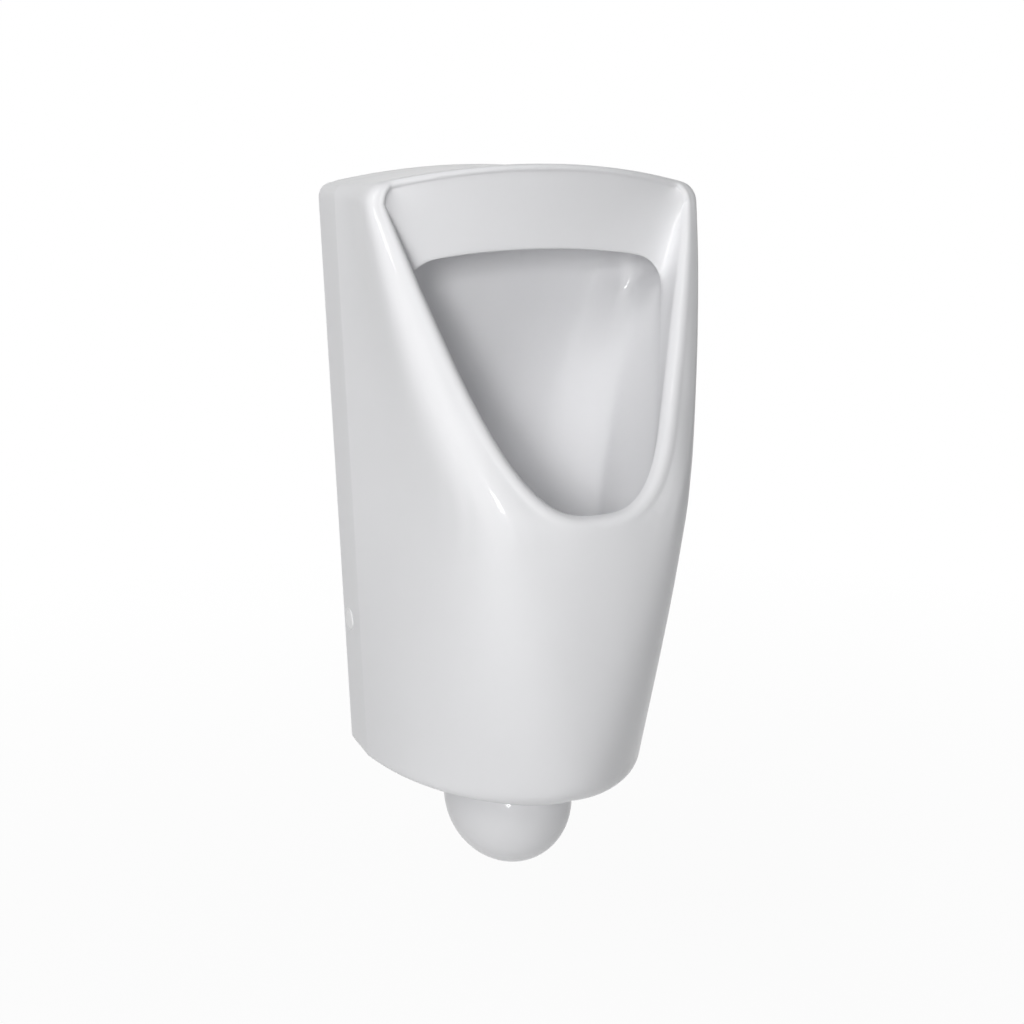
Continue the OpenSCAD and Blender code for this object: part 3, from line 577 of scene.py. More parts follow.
def relax(bm, verts):
    """Smooths vertices once."""
    bmesh.ops.smooth_vert(bm, verts=verts, factor=0.5, use_axis_x=True, use_axis_y=True, use_axis_z=True)


def rod(bm, r, low, high, segments=48):
    """A plain closed cylinder, used for cutting as well."""
    made = bmesh.ops.create_cone(bm, cap_ends=True, segments=segments, radius1=r, radius2=r,
                                 depth=high - low)["verts"]
    move(bm, made, (0, 0, (low + high) / 2))
    return made


def block(bm, low, high, bevel):
    """A box between two corners, its edges bevelled."""
    made = bmesh.ops.create_cube(bm, size=1)["verts"]
    bmesh.ops.scale(bm, verts=made, vec=[b - a for a, b in zip(low, high)])
    move(bm, made, [(a + b) / 2 for a, b in zip(low, high)])
    edges = list({e for v in made for e in v.link_edges})
    before = set(bm.verts) - set(made)
    bmesh.ops.bevel(bm, geom=edges, offset=bevel, affect="EDGES", segments=3, profile=0.5, material=-1)
    return newer(bm, before)


def nut(bm, across, low, high, bore):
    """A hexagon nut with chamfered corners and a round bore, or none."""
    corner, chamfer = across / 2 / math.cos(math.pi / 6), 0.8
    body, dome = bmesh.new(), bmesh.new()
    rod(body, corner, low, high, segments=6)
    level = [e for e in body.edges if abs(e.verts[0].co.z - e.verts[1].co.z) < 1e-6]
    bmesh.ops.subdivide_edges(body, edges=level, cuts=5)
    near, wide = corner - chamfer * 1.4, corner + 0.05
    line = [(0, low), (near, low), (wide, low + chamfer), (wide, high - chamfer), (near, high), (0, high)]
    lathe(dome, line, r=0, loop=False)
    cut_with(body, dome, "INTERSECT")
    if bore:
        hole = bmesh.new()
        rod(hole, bore, low - 1, high + 1)
        cut_with(body, hole)
    pour(bm, body)


def pour(bm, other):
    """Adds another bmesh's shape to this one and returns its new vertices."""
    before = set(bm.verts)
    mesh = bpy.data.meshes.new("pour")
    other.to_mesh(mesh)
    bm.from_mesh(mesh)
    bpy.data.meshes.remove(mesh)
    return newer(bm, before)


def cut_with(bm, tool=None, how="DIFFERENCE"):
    """Joins, cuts or intersects a bmesh with another one, or with itself where none is given."""
    parts = [set_down("part", b) for b in (bm, tool) if b is not None]
    m = parts[0].modifiers.new("cut", "BOOLEAN")
    m.operation, m.solver = how, "EXACT"
    if tool is None:
        m.use_self, m.operand_type = True, "COLLECTION"
    else:
        m.object = parts[1]
        tool.free()
    made = bpy.data.meshes.new_from_object(parts[0].evaluated_get(bpy.context.evaluated_depsgraph_get()))
    bm.clear()
    bm.from_mesh(made)
    for o in parts:
        data = o.data
        bpy.data.objects.remove(o)
        bpy.data.meshes.remove(data)
    bpy.data.meshes.remove(made)
    return bm


def joined(bm):
    """Overlapping cutters made into one solid."""
    return cut_with(bm, how="UNION")


def repeated(part, way, places):
    """One finished shape set down at each place, turned the way given."""
    bm = bmesh.new()
    for at in places:
        lie(bm, pour(bm, part), way, at)
    return bm


def thread(bm, r, depth, pitch, low, high, steps):
    """A screw thread: one ridge wound round the upright axis from low to high."""
    before = set(bm.verts)
    h = pitch * 0.42
    verts = [bm.verts.new((x, 0, low + pitch / 2 + up)) for x, up in
             ((r - depth, -h), (r, -h * 0.15), (r, h * 0.15), (r - depth, h))]
    edges = [bm.edges.new(pair) for pair in zip(verts, verts[1:] + verts[:1])]
    count = round((high - low - pitch) / pitch * steps)
    bmesh.ops.spin(bm, geom=verts + edges, cent=(0, 0, 0), axis=(0, 0, 1), dvec=(0, 0, pitch / steps),
                   angle=TURN * count / steps, steps=count)
    ends = [e for e in {e for v in newer(bm, before) for e in v.link_edges} if e.is_boundary]
    bmesh.ops.holes_fill(bm, edges=ends, sides=4)


def put(tree, kind, **values):
    """A new node with its inputs set by name, an underscore standing for a space."""
    node = tree.nodes.new("ShaderNode" + kind)
    set_inputs(node, values)
    return node


def set_inputs(node, values):
    """Sets a node's inputs by name."""
    for key, value in values.items():
        node.inputs[key.replace("_", " ")].default_value = value


def nodes_of(name, **values):
    """A fresh material, its node tree and its shader, with the shader's inputs set."""
    made = bpy.data.materials.new(name)
    made.use_nodes = True
    shader = made.node_tree.nodes["Principled BSDF"]
    set_inputs(shader, values)
    return made, made.node_tree, shader


def noise(tree, vector, scale, detail):
    """The value of a noise laid out along a vector."""
    node = put(tree, "TexNoise", Scale=scale, Detail=detail)
    tree.links.new(vector, node.inputs["Vector"])
    return node.outputs["Fac"]


def tinted(tree, shader, value, colour, tones, ends):
    """Lets the base colour wander between two tones of a colour."""
    ramp = put(tree, "ValToRGB")
    for element, tone, end in zip(ramp.color_ramp.elements, tones, ends):
        element.position = end
        element.color = [min(1, c * tone) for c in colour] + [1]
    tree.links.new(value, ramp.inputs["Fac"])
    tree.links.new(ramp.outputs["Color"], shader.inputs["Base Color"])


def roughened(tree, shader, value, low, high):
    """Lets the roughness wander between two values."""
    spread = put(tree, "MapRange", To_Min=low, To_Max=high)
    tree.links.new(value, spread.inputs["Value"])
    tree.links.new(spread.outputs["Result"], shader.inputs["Roughness"])


def embossed(tree, socket, value, strength, distance):
    """Leads a fine relief into a socket for normals."""
    relief = put(tree, "Bump", Strength=strength, Distance=distance)
    tree.links.new(value, relief.inputs["Height"])
    tree.links.new(relief.outputs["Normal"], socket)


def surface(name, colour, rough, metal=0.0, drift=0.03, drift_scale=12, rough_drift=0.05, rough_scale=60,
            bump=0.1, bump_scale=300, bump_dist=0.0002, stretch=(1, 1, 1), coat=0.0):
    """A material whose colour, roughness and relief wander a little over the surface."""
    made, tree, shader = nodes_of(name, Metallic=metal, Coat_Weight=coat, Coat_Roughness=0.05)
    place, grain = put(tree, "TexCoord").outputs["Object"], put(tree, "Mapping", Scale=stretch)
    tree.links.new(place, grain.inputs["Vector"])
    grain = grain.outputs["Vector"]
    tinted(tree, shader, noise(tree, place, drift_scale, 3), colour, (1 - drift, 1 + drift), (0.32, 0.68))
    roughened(tree, shader, noise(tree, grain, rough_scale, 4), rough - rough_drift, rough + rough_drift)
    embossed(tree, shader.inputs["Normal"], noise(tree, grain, bump_scale, 2), bump, bump_dist)
    return made


def glazed(name, colour, rough):
    """White sanitary glaze: an even body colour under a wet gloss that is never perfectly flat."""
    made, tree, shader = nodes_of(name, IOR=1.5, Specular_IOR_Level=0.1, Coat_Weight=0.3, Coat_Roughness=0.04,
                                  Coat_IOR=1.5)
    place = put(tree, "TexCoord").outputs["Object"]
    tinted(tree, shader, noise(tree, place, 5.5, 2), colour, (0.985, 1.012), (0.3, 0.7))
    roughened(tree, shader, noise(tree, place, 38, 5), rough - 0.05, rough + 0.06)
    embossed(tree, shader.inputs["Coat Normal"], noise(tree, place, 26, 1), 0.06, 0.0003)
    return made


FINISHES = {
    "bare_china": dict(colour="biscuit", rough=0.78, drift=0.06, drift_scale=25, bump=0.35, bump_scale=900,
                       bump_dist=0.0003),
    "cap_plastic": dict(colour="cap", rough=0.2, drift=0.01, rough_drift=0.04, bump=0.04, bump_scale=350,
                        bump_dist=0.0001, coat=0.3),
    "brushed_steel": dict(colour="steel", rough=0.3, metal=1, drift=0.05, drift_scale=40, rough_drift=0.08,
                          rough_scale=120, bump=0.18, bump_scale=260, bump_dist=0.0001, stretch=(1, 14, 1)),
    "chrome_plate": dict(colour="chrome", rough=0.08, metal=1, drift=0.02, rough_drift=0.03, bump=0.04,
                         bump_dist=0.00005),
    "zinc_plate": dict(colour="zinc", rough=0.38, metal=1, drift=0.1, drift_scale=90, rough_drift=0.1,
                       rough_scale=200, bump=0.2, bump_scale=500, bump_dist=0.0001),
    "satin_brass": dict(colour="brass", rough=0.3, metal=1, drift=0.07, drift_scale=70, rough_drift=0.08,
                        rough_scale=160, bump=0.12, bump_scale=400, bump_dist=0.0001),
    "black_rubber": dict(colour="rubber", rough=0.62, drift=0.15, drift_scale=80, rough_drift=0.1, bump=0.3,
                         bump_scale=700),
    "pale_nylon": dict(colour="nylon", rough=0.46, rough_drift=0.07, bump=0.2, bump_scale=800,
                       bump_dist=0.0001),
    "pipe_plastic": dict(colour="pipe", rough=0.4, drift=0.04, rough_drift=0.06, bump=0.15, bump_scale=500,
                         bump_dist=0.0001),
}


def material(name):
    """One of the urinal's materials, made the first time it is asked for."""
    if name in bpy.data.materials:
        return bpy.data.materials[name]
    colours = bpy.context.scene.urinal_finishes
    if name == "white_glaze":
        return glazed(name, colours.glaze, colours.glaze_rough)
    finish = dict(FINISHES[name])
    return surface(name, getattr(colours, finish.pop("colour")), **finish)


def waterway(f):
    """The trap's waterway as one solid: down, round the bend, up again and out to the wall."""
    bm = bmesh.new()
    up_d, turn_r, floor_z = 43, 22, -66
    bend_z = (f.drain_d - up_d) / 2 + floor_z
    start_z = f.drain_z + 2

    def run(face, way):
        end = drawn(bm, face, way)
        bmesh.ops.delete(bm, geom=[face], context="FACES_ONLY")
        return end

    def bend(face, d, z, angle, steps):
        made = bmesh.ops.spin(bm, geom=[face], cent=(0, -d, z), axis=(1, 0, 0), angle=angle, steps=steps)
        return next(g for g in made["geom_last"] if isinstance(g, bmesh.types.BMFace))

    ring = bmesh.ops.create_circle(bm, cap_ends=True, segments=48, radius=f.way_r)["verts"]
    move(bm, ring, (0, -f.drain_d, start_z))
    face = drawn(bm, ring[0].link_faces[0], (0, 0, bend_z - start_z))
    face = bend(face, (f.drain_d + up_d) / 2, bend_z, math.pi, 20)
    face = run(face, (0, 0, f.outlet_z - turn_r - bend_z))
    face = bend(face, up_d - turn_r, f.outlet_z - turn_r, -math.pi / 2, 10)
    run(face, (0, up_d - turn_r + 1, 0))
    return closed(bm)


class URINAL_OT_china(Operator):
    """Lofts the china body, adds the trap bulb and cuts the waterway, the inlet and the pockets in the back"""

    bl_idname = "urinal.china"
    bl_label = "China body"

    def execute(self, context):
        f = BodyForm(context.scene.urinal_sizes)
        fine = 4
        columns = [smooth_line(f.column(k / fine), STEPS) for k in range(f.HALF * fine + 1)]
        nx, ny = len(columns) - 1, len(columns[0]) - 1
        bm = bmesh.new()
        corner, edge = [], []
        rim, hood, throat, behind, bowl = [row_of(n) for n in (27, 29, 33, 34, 39)]
        for v in bmesh.ops.create_grid(bm, x_segments=nx, y_segments=ny, size=0.5)["verts"]:
            n, k = round((v.co.x + 0.5) * nx), round((v.co.y + 0.5) * ny)
            p, i = columns[n][k], n / fine
            v.co = Vector((0 if n in (0, nx) else p[0], -p[1], p[2]))
            if rim < k < throat and 1 < i <= f.HALF - 1:
                corner.append((v, abs(i - 24.5)))
            if hood < k < bowl and 1 < i < 25.5:
                edge.append((v, max(i, 15) - 15 + abs(k - behind) * 0.3))
        # Softens the opening's corner and the hood's edge, over less and less round their cores.
        for group, rounds, core, margin in ((corner, 150, 3.5, 7.5), (edge, 30, 4, 6)):
            for n in range(rounds):
                relax(bm, [v for v, far in group if far < core + margin * (1 - n / rounds)])
        bmesh.ops.mirror(bm, geom=bm.verts[:] + bm.edges[:] + bm.faces[:], axis="X", merge_dist=0.002)
        bmesh.ops.remove_doubles(bm, verts=bm.verts, dist=0.002)
        # Evens out the whole skin, but for the back edge and the recess.
        skin = [v for v in bm.verts if v.co.y < -2 and not v.is_boundary
                and (v.co.y <= -f.recess_d - 1 or abs(v.co.x) >= f.half_w(v.co.z) - 15)]
        for _ in range(6):
            relax(bm, skin)
        fill_holes(bm)
        bmesh.ops.recalc_face_normals(bm, faces=bm.faces)
        cut_with(bm, self.bulb(f), "UNION")
        cut_with(bm, waterway(f))
        cut_with(bm, self.back_cuts(f))
        bmesh.ops.dissolve_degenerate(bm, edges=bm.edges, dist=0.004)
        for face in bm.faces:
            c = face.calc_center_median()
            land = c.y > -0.6 and c.z > -1 and face.normal.y > 0.6
            inside = (c.y > 4 - f.bowl_back_d and 80 < c.z < f.body_h - 20 and abs(c.x) < f.half_w(c.z) - 20
                      and math.hypot(c.x, c.z - f.inlet_z) >= f.inlet_r + 0.2)
            face.material_index = int(land or inside)
        grow(bm, "china_shell", "china", "china_body", "white_glaze", "bare_china", smooth_deg=42)
        return {"FINISHED"}

    def bulb(self, f):
        """The trap bulb with its fillet, cut off above the underside and run on into the body."""
        bm = bmesh.new()

        def bisect(z, **how):
            bmesh.ops.bisect_plane(bm, geom=bm.verts[:] + bm.edges[:] + bm.faces[:], plane_co=(0, 0, z),
                                   plane_no=(0, 0, 1), **how)

        verts = bmesh.ops.create_uvsphere(bm, u_segments=96, v_segments=64, radius=1)["verts"]
        bmesh.ops.scale(bm, verts=verts, vec=(f.bulb_r, f.bulb_r, f.bulb_half_l))
        turn(bm, verts, f.bulb_tilt - math.pi / 2, "X")
        move(bm, verts, (0, -f.bulb_d, -f.bulb_z))
        bisect(0.3, clear_outer=True)
        r = f.bulb_fillet
        for k in range(1, 9):
            bisect(-r * (1 - math.sin(math.pi / 2 * k / 9)))
        middle = Vector((0, -f.bulb_d))
        for v in bm.verts:
            if v.co.z > -r:
                out = r - math.sqrt(max(0, r * r - min(r, v.co.z + r) ** 2))
                way = (v.co.xy - middle).normalized() * out
                v.co.x, v.co.y = v.co.x + way.x, min(-0.6, v.co.y + way.y)
        made = bmesh.ops.extrude_edge_only(bm, edges=[e for e in bm.edges if e.is_boundary])["geom"]
        move(bm, [g for g in made if isinstance(g, bmesh.types.BMVert)], (0, 0, 12))
        fill_holes(bm)
        return closed(bm)

    def back_cuts(self, f):
        """Everything that is cut into the china from behind and from the sides."""
        bm = bmesh.new()
        lie(bm, rod(bm, f.outlet_r + 5, 0, 39, 64), "wall", (0, -38, f.outlet_z))
        lie(bm, rod(bm, 20, 0, 30), "wall", (0, -74, f.inlet_z))
        lie(bm, rod(bm, f.inlet_r, 0, 50), "wall", (0, -46, f.inlet_z))
        deep, top = -f.recess_d, f.hanger_z
        for _, s in SIDES:
            x = s * f.hanger_gap / 2
            block(bm, (x - 25, deep - 14, top - 40), (x + 25, deep + 1, top), 2)
            block(bm, (x - 25, deep - 14, top - 6), (x + 25, deep - 5, top + 15), 2)
        for way, s in SIDES:
            x = s * f.block_gap / 2
            low, high = sorted((x - 16 * s, x + 19 * s))
            block(bm, (low, -38, f.side_z - 32), (high, 4, f.side_z + 22), 3)
            lie(bm, rod(bm, 5.5, 0, 60, 32), way, (x + 10 * s, -f.side_d, f.side_z))
            lie(bm, rod(bm, 11.3, 0, 20), way, (s * (f.half_w(f.side_z) - 6), -f.side_d, f.side_z))
        return joined(bm)


class URINAL_OT_drain(Operator):
    """Makes the lift-out strainer with its rings of holes, and the rubber ring that it sits on"""

    bl_idname = "urinal.drain"
    bl_label = "Drain strainer"

    def execute(self, context):
        f = BodyForm(context.scene.urinal_sizes)
        bm, holes, slots = bmesh.new(), bmesh.new(), bmesh.new()
        neck, wall = f.way_r - 0.06, f.way_r - 2.0
        lathe(bm, [(0, 0.6), (wall, 0.6), (wall, -15), (neck, -15), (neck, 0), (34.4, 0), (35, 0.8),
                   (34.6, 2.6), (33, 3.4), (30, 3), (24, 2.7), (11, 2.6), (8.6, 3.4), (6.5, 5.8), (0, 5.8)],
              r=0.7, steps=96, loop=False)
        closed(bm)
        for r, count in ((12, 6), (20.5, 10), (29, 14)):
            for k in range(count):
                made = rod(holes, 2.4, -1, 6, 24)
                move(holes, made, (r, 0, 0))
                turn(holes, made, TURN * k / count)
        cut_with(bm, holes)
        for k in range(3):
            turn(slots, block(slots, (-30, -4, -20), (30, 4, -7), 1.5), math.pi / 3 * k)
        cut_with(bm, joined(slots))
        lie(bm, bm.verts, "up", (0, -f.drain_d, f.drain_z + 3))
        grow(bm, "strainer_plate", "strainer", "drain_strainer", "brushed_steel", body="strainer",
             smooth_deg=30)
        grow(turned([(24, 0), (36.2, 0), (36.2, 3), (24, 3)], (0, -f.drain_d, f.drain_z), 1, 96, "up"),
             "strainer_gasket", "rubber", "strainer_ring", "black_rubber")
        return {"FINISHED"}


class URINAL_OT_inlet(Operator):
    """Makes the flush spreader, its threaded stem, the washers and nuts, and the supply tail in the wall"""

    bl_idname = "urinal.inlet"
    bl_label = "Flush inlet"

    def execute(self, context):
        f = BodyForm(context.scene.urinal_sizes)
        at, front, stem_r, bore = (0, 0, f.inlet_z), -44, f.inlet_r - 0.4, 6.5
        hole_r, core = stem_r + 0.3, stem_r - 0.75

        def washer(name, slot, node, finish, inner, outer, low, high, r):
            line = [(inner, low), (outer, low), (outer, high), (inner, high)]
            grow(turned(line, at, r), name, slot, node, finish)

        bm, slots = bmesh.new(), bmesh.new()
        rose = turned([(hole_r, front - 2.5), (17, front - 2.5), (17, front - 6.5), (12, front - 12.5),
                       (0, front - 12.5), (0, front - 9.5), (hole_r, front - 9.5)], at, 0.9, 96)
        for k in range(-2, 4):
            made = block(slots, (-1.4, front - 8.7, -1), (1.4, front - 5.7, 20), 0.3)
            turn(slots, made, math.radians(24 * k - 12), "Y")
        move(slots, slots.verts, at)
        cut_with(rose, joined(slots))
        grow(rose, "spreader_rose", "chrome", "spreader_head", "chrome_plate", smooth_deg=30)

        lathe(bm, [(bore, front), (bore - 1, front), (bore - 1, front - 7.5), (0, front - 7.5),
                   (0, front - 9.2), (core, front - 9.2), (core, 25.2), (core - 0.8, 26), (bore, 26)], r=0.3)
        thread(bm, stem_r, 0.85, 1.8, front - 9, 25.4, 24)
        lie(bm, bm.verts, "wall", at)
        grow(closed(bm), "stem_tube", "brass", "spreader_stem", "satin_brass", smooth_deg=30)
        washer("front_gasket", "rubber", "front_washer", "black_rubber", f.inlet_r, 16, front - 2.5, front,
               0.8)
        washer("back_gasket", "rubber", "back_washer", "black_rubber", hole_r, 17, -16, -13.5, 0.8)
        washer("pressure_plate", "steel", "pressure_washer", "zinc_plate", hole_r, 17, -13.5, -11.9, 0.3)
        washer("joint_ring", "rubber", "union_ring", "black_rubber", bore, 10, 26, 28, 0.5)

        clamp_nut, joint_nut, hole = bmesh.new(), bmesh.new(), bmesh.new()
        nut(clamp_nut, 28, -11.9, -3.9, stem_r + 0.05)
        nut(joint_nut, 27, 12, 34, bore + 2)
        rod(hole, stem_r + 0.05, 11, 31)
        cut_with(joint_nut, hole)
        for bm, name, node in ((clamp_nut, "clamp_nut", "back_nut"), (joint_nut, "joint_nut", "union_nut")):
            lie(bm, bm.verts, "wall", at)
            grow(closed(bm), name, "brass", node, "satin_brass", smooth_deg=25)
        tail = [(6, 28), (10, 28), (10, 31), (8.35, 31), (8.35, 35), (8.1, 35.3), (8.1, 88), (6, 88)]
        grow(turned(tail, at, 0.4), "supply_pipe", "brass", "supply_tail", "satin_brass")
        return {"FINISHED"}


class URINAL_OT_outlet(Operator):
    """Makes the outlet's lip seal and the spigot that runs into the wall"""

    bl_idname = "urinal.outlet"
    bl_label = "Outlet"

    def execute(self, context):
        f = BodyForm(context.scene.urinal_sizes)
        r, at = f.outlet_r, (0, 0, f.outlet_z)
        lip = [(r + 0.02, -26), (r + 3.6, -26)]
        for d in (24, 19, 14):
            lip += [(r + 3.6, -d - 0.8), (r + 5, -d), (r + 5, -d + 2.4), (r + 3.6, -d + 2.6)]
        lip += [(r + 5, -10.5), (r + 5, -10), (r + 0.02, -10)]
        grow(turned(lip, at, 0.4, 96), "lip_seal", "rubber", "outlet_seal", "black_rubber")
        pipe = [(r - 2.6, -34), (r - 0.9, -34), (r - 0.02, -31), (r - 0.02, -8), (r + 4, -8), (r + 4, -3),
                (r - 0.02, -3), (r - 0.02, 76), (r - 1.4, 80), (r - 2.6, 80)]
        grow(turned(pipe, at, 0.6, 96), "spigot_pipe", "pipe", "outlet_spigot", "pipe_plastic")
        return {"FINISHED"}


def wall_screw(head, r, high):
    """A hexagon wood screw with a flange and a wound thread; head is the height where it bears."""
    bm = bmesh.new()
    nut(bm, 12, head, head + 5, 0)
    lathe(bm, [(0, head - 0.1), (6.9, head - 0.1), (6.9, head + 0.5), (5.8, head + 1.2), (0, head + 1.2)],
          r=0.2, steps=40, loop=False)
    lathe(bm, [(0, head - high - 5), (r - 0.9, head - high), (r - 0.9, head - 14), (r, head - 13),
               (r, head + 0.6), (0, head + 0.6)], r=0.3, steps=32, loop=False)
    thread(bm, r, 0.95, 2.6, head - high, head - 14, 16)
    return closed(bm)


def wall_plug(r, bore, long):
    """A ribbed nylon plug with two slots along it."""
    part = bmesh.new()
    line = [(bore, 0), (r + 0.6, 0), (r + 0.6, 1), (r, 1.2)]
    z = 10
    while z < long - 8:
        line += [(r - 0.6, z - 1), (r + 0.5, z + 4.6), (r - 0.5, z + 5)]
        z += 8
    line += [(r, long - 2), (r - 0.8, long), (bore, long)]
    lathe(part, line, r=0.25, steps=40)
    tool = bmesh.new()
    block(tool, (-0.7, -12, 16), (0.7, 12, long + 1), 0.2)
    return cut_with(closed(part), tool)


class URINAL_OT_hangers(Operator):
    """Makes the two bent hangers with their screws, washers and wall plugs"""

    bl_idname = "urinal.hangers"
    bl_label = "Wall hangers"

    def execute(self, context):
        f = BodyForm(context.scene.urinal_sizes)
        z, t, w, high, deep = f.hanger_z, 4, 44, 78, f.recess_d + 11.6
        holes = ((0, 24), (-11, 58), (11, 58))
        places = []
        for side, s in SIDES:
            x = s * f.hanger_gap / 2
            bm, tool = bmesh.new(), bmesh.new()
            strip = [(0, z - high), (-t, z - high), (-t, z - t - 2), (-t - 2, z - t), (-deep, z - t),
                     (-deep, z + 10), (t - deep, z + 10), (t - deep, z + 2), (t - deep + 2, z), (-3, z),
                     (0, z - 3)]
            drawn(bm, bm.faces.new([bm.verts.new((x - w / 2, y, h)) for y, h in strip]), (w, 0, 0))
            bmesh.ops.recalc_face_normals(bm, faces=bm.faces)
            bmesh.ops.bevel(bm, geom=[e for e in bm.edges if e.calc_face_angle(0) > 0.9], offset=0.5,
                            affect="EDGES", segments=2, profile=0.5, material=-1)
            rib = ((-t + 1, z - t + 1), (-26, z - t + 1), (-t + 1, z - t - 17))
            for k in (-1, 1):
                rib_x = x + k * (w / 2 - 1.5) - 1.5
                drawn(bm, bm.faces.new([bm.verts.new((rib_x, y, h)) for y, h in rib]), (3, 0, 0))
            for across, down in holes:
                places.append((x + across, 0, z - down))
                lie(tool, rod(tool, 4.5, -1, 6, 40), "front", places[-1])
            bmesh.ops.recalc_face_normals(bm, faces=bm.faces)
            cut_with(bm, tool)
            grow(bm, "hanger_plate_" + side, "steel", "hanger_" + side, "zinc_plate", smooth_deg=30)
        washer = turned([(4.1, t), (8.5, t), (8.5, t + 1.6), (4.1, t + 1.6)], (0, 0, 0), 0.3, 48, "up")
        grow(repeated(wall_screw(t + 1.6, 3.95, 55), "front", places), "upper_screws", "screws",
             "hanger_screws", "zinc_plate", smooth_deg=30)
        grow(repeated(washer, "front", places), "upper_washers", "screws", "hanger_washers", "zinc_plate")
        grow(repeated(wall_plug(5.5, 4, 62), "wall", places), "upper_plugs", "nylon", "hanger_plugs",
             "pale_nylon")
        return {"FINISHED"}


class URINAL_OT_lower_fixing(Operator):
    """Makes the two lower blocks with their wall screws and plugs, and the side screws, collars and caps"""

    bl_idname = "urinal.lower_fixing"
    bl_label = "Lower fixing"

    def execute(self, context):
        f = BodyForm(context.scene.urinal_sizes)
        z, d = f.side_z, f.side_d
        side_screws, collars, places = bmesh.new(), bmesh.new(), []
        for side, s in SIDES:
            x = s * f.block_gap / 2
            places.append((x, 0, z - 17))
            bm, tool = bmesh.new(), bmesh.new()
            block(bm, (x - 14, -34, z - 30), (x + 14, 0, z + 16), 1.6)
            lie(tool, rod(tool, 4.2, -1, 36, 40), "front", places[-1])
            lie(tool, rod(tool, 8.5, 22, 36, 48), "front", places[-1])
            lie(tool, rod(tool, 2.9, 0, 24, 32), "left" if s > 0 else "right", (x + 15 * s, -d, z))
            cut_with(bm, joined(tool))
            grow(bm, "wall_block_" + side, "nylon", "fixing_block_" + side, "pale_nylon")
            at = (s * f.half_w(z), -d, z)
            lie(side_screws, self.side_screw(side_screws), side, at)
            collar = [(3.1, -14), (5.4, -14), (5.4, -6), (9, -6), (9, -4.4), (3.1, -4.4)]
            lie(collars, lathe(collars, collar, r=0.3, steps=48), side, at)
            cap = [(0, -1), (9.4, -1), (9.4, -4.2), (11.2, -4.2), (11.2, 0.5), (10.7, 1.3), (9.4, 1.7),
                   (0, 1.7)]
            grow(turned(cap, at, 0.5, 72, side, loop=False), "side_cover_" + side, "caps", "side_cap_" + side,
                 "cap_plastic", body="cap_" + side)
        grow(repeated(wall_screw(22, 3.95, 66), "front", places), "lower_screws", "screws", "block_screws",
             "zinc_plate", smooth_deg=30)
        grow(repeated(wall_plug(5.5, 4, 56), "wall", places), "lower_plugs", "nylon", "block_plugs",
             "pale_nylon")
        grow(closed(side_screws), "cover_screws", "screws", "side_screws", "zinc_plate", smooth_deg=30)
        grow(closed(collars), "screw_collars", "nylon", "side_collars", "pale_nylon")
        return {"FINISHED"}

    def side_screw(self, bm):
        """A pan head screw with a cross recess."""
        head = turned([(0, -4.4), (4.6, -4.4), (4.6, -3.2), (3.6, -1.9), (0, -1.8)], (0, 0, 0), 0.4, 48, "up",
                      loop=False)
        for a in (0, math.pi / 2):
            tool = bmesh.new()
            turn(tool, block(tool, (-2.4, -0.45, -3.4), (2.4, 0.45, 0), 0.1), a)
            cut_with(head, tool)
        before = set(bm.verts)
        pour(bm, head)
        lathe(bm, [(0, -36), (1.6, -36), (2.2, -34), (2.2, -4.2), (0, -4.2)], r=0.2, steps=24, loop=False)
        thread(bm, 2.85, 0.7, 1.5, -35, -5, 16)
        return newer(bm, before)


def softbox(name, place, aim, wide, high, watts):
    """A rectangular lamp that looks at a point."""
    data = bpy.data.lights.new(name, "AREA")
    data.shape = "RECTANGLE"
    data.size, data.size_y, data.energy = wide, high, watts
    lamp = bpy.data.objects.new(name, data)
    lamp.location = place
    lamp.visible_camera = False
    lamp.visible_glossy = name != "rear_lamp"
    lamp.rotation_euler = (aim - place).to_track_quat("-Z", "Y").to_euler()
    bpy.context.scene.collection.objects.link(lamp)


def combined(tree, how, *values):
    """The result of a maths node that takes its values from other nodes."""
    node = put(tree, "Math")
    node.operation = how
    for value, socket in zip(values, node.inputs):
        tree.links.new(value, socket)
    return node.outputs[0]


def white_to_camera(tree, plain, white, output, fade=None):
    """Shows white to camera, mirrored and clear rays, and the plain shader to all others."""
    path, blend = put(tree, "LightPath"), put(tree, "MixShader")
    seen = path.outputs["Is Camera Ray"]
    for ray in ("Is Glossy Ray", "Is Transmission Ray"):
        seen = combined(tree, "MAXIMUM", seen, path.outputs[ray])
    if fade:
        seen = combined(tree, "MULTIPLY", seen, fade)
    for source, socket in ((seen, "Fac"), (plain, 1), (white, 2)):
        tree.links.new(source, blend.inputs[socket])
    tree.links.new(blend.outputs["Shader"], tree.nodes[output].inputs["Surface"])


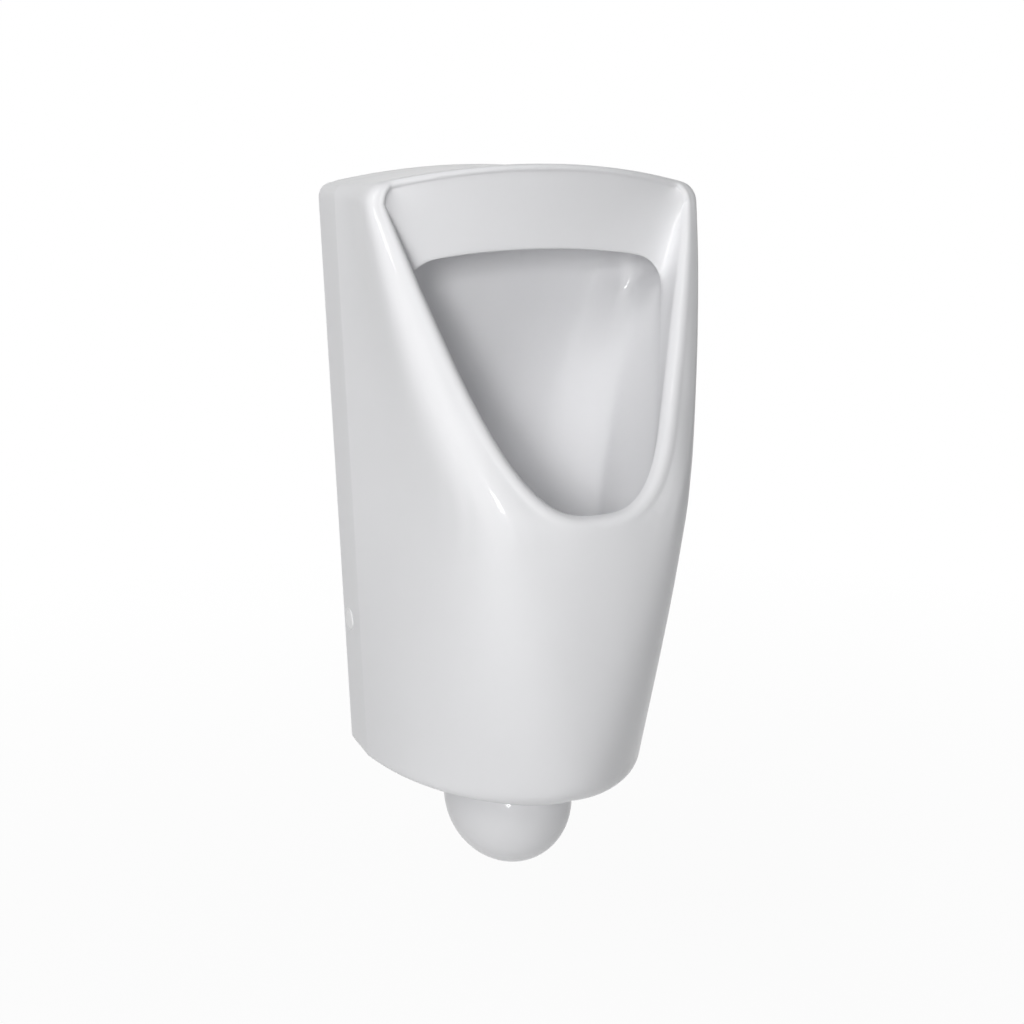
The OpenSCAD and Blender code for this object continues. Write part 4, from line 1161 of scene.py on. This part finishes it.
class URINAL_OT_stage(Operator):
    """Sets the pale floor, the white surroundings, the soft lamps and the camera"""

    bl_idname = "urinal.stage"
    bl_label = "Studio"

    def execute(self, context):
        scene = context.scene
        bm = bmesh.new()
        bmesh.ops.create_grid(bm, x_segments=8, y_segments=8, size=12)
        move(bm, bm.verts, (0, 0, -0.42))
        floor = set_down("floor", bm)
        bm.free()
        pale, tree, shader = nodes_of("pale_floor", Base_Color=(0.76, 0.76, 0.76, 1), Roughness=0.9,
                                      Specular_IOR_Level=0.1)
        place, far = put(tree, "TexCoord"), put(tree, "VectorMath")
        far.operation = "LENGTH"
        tree.links.new(place.outputs["Object"], far.inputs[0])
        fade = put(tree, "MapRange", From_Min=0.6, From_Max=2.2, To_Min=0.95)
        tree.links.new(far.outputs["Value"], fade.inputs["Value"])
        white = put(tree, "Emission")
        white_to_camera(tree, shader.outputs["BSDF"], white.outputs["Emission"], "Material Output",
                        fade.outputs["Result"])
        floor.data.materials.append(pale)

        world = bpy.data.worlds.new("white_room")
        world.use_nodes = True
        scene.world = world
        tree = world.node_tree
        sky = tree.nodes["Background"]
        set_inputs(sky, {"Color": (0.96, 0.98, 1.0, 1), "Strength": 0.11})
        white = put(tree, "Background", Color=(1, 1, 1, 1))
        white_to_camera(tree, sky.outputs["Background"], white.outputs["Background"], "World Output")

        aim, lamp_far = Vector((0, -0.14, 0.25)), 2.4
        for name, around, rise, wide, high, watts in (
                ("key_lamp", -31, 13, 0.4, 0.6, 22.5), ("left_lamp", -54, 34, 0.5, 0.8, 14),
                ("high_lamp", -45, 50, 0.5, 0.7, 6), ("right_lamp", 100, 12, 0.7, 1.0, 2),
                ("rear_lamp", 180, 5, 0.8, 1.0, 13)):
            a, e = math.radians(around), math.radians(rise)
            way = Vector((math.cos(e) * math.sin(a), -math.cos(e) * math.cos(a), math.sin(e)))
            softbox(name, aim + way * lamp_far, aim, wide, high, watts)

        data = bpy.data.cameras.new("camera")
        data.sensor_width = 36
        data.lens = data.sensor_width * FOCAL_SHARE
        camera = bpy.data.objects.new("camera", data)
        scene.collection.objects.link(camera)
        camera.location = (-0.5251, -1.3426, 0.5457)
        camera.rotation_euler = Vector((0.3752, 0.8969, -0.2340)).to_track_quat("-Z", "Y").to_euler()
        scene.camera = camera
        scene.view_settings.view_transform = "Standard"
        return {"FINISHED"}


class URINAL_PT_panel(Panel):
    """Lists the urinal's pieces, sizes and finishes"""

    bl_idname = "URINAL_PT_panel"
    bl_label = "Wall hung urinal"
    bl_space_type = "VIEW_3D"
    bl_region_type = "UI"
    bl_category = "Urinal"

    def draw(self, context):
        column = self.layout.column()
        for maker in MAKERS:
            column.operator(maker.bl_idname, text=maker.bl_label)
        for group in (context.scene.urinal_sizes, context.scene.urinal_finishes):
            box = self.layout.box()
            for name in group.__annotations__:
                box.prop(group, name)


MAKERS = (URINAL_OT_china, URINAL_OT_drain, URINAL_OT_inlet, URINAL_OT_outlet, URINAL_OT_hangers,
          URINAL_OT_lower_fixing, URINAL_OT_stage)
CLASSES = (UrinalSizes, UrinalFinishes) + MAKERS + (URINAL_PT_panel,)


def register():
    for c in CLASSES:
        bpy.utils.register_class(c)
    bpy.types.Scene.urinal_sizes = PointerProperty(type=UrinalSizes)
    bpy.types.Scene.urinal_finishes = PointerProperty(type=UrinalFinishes)


def unregister():
    del bpy.types.Scene.urinal_finishes
    del bpy.types.Scene.urinal_sizes
    for c in reversed(CLASSES):
        bpy.utils.unregister_class(c)


def main():
    """Registers the add-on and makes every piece."""
    register()
    bpy.ops.urinal.china()
    bpy.ops.urinal.drain()
    bpy.ops.urinal.inlet()
    bpy.ops.urinal.outlet()
    bpy.ops.urinal.hangers()
    bpy.ops.urinal.lower_fixing()
    bpy.ops.urinal.stage()


if __name__ == "__main__":
    main()
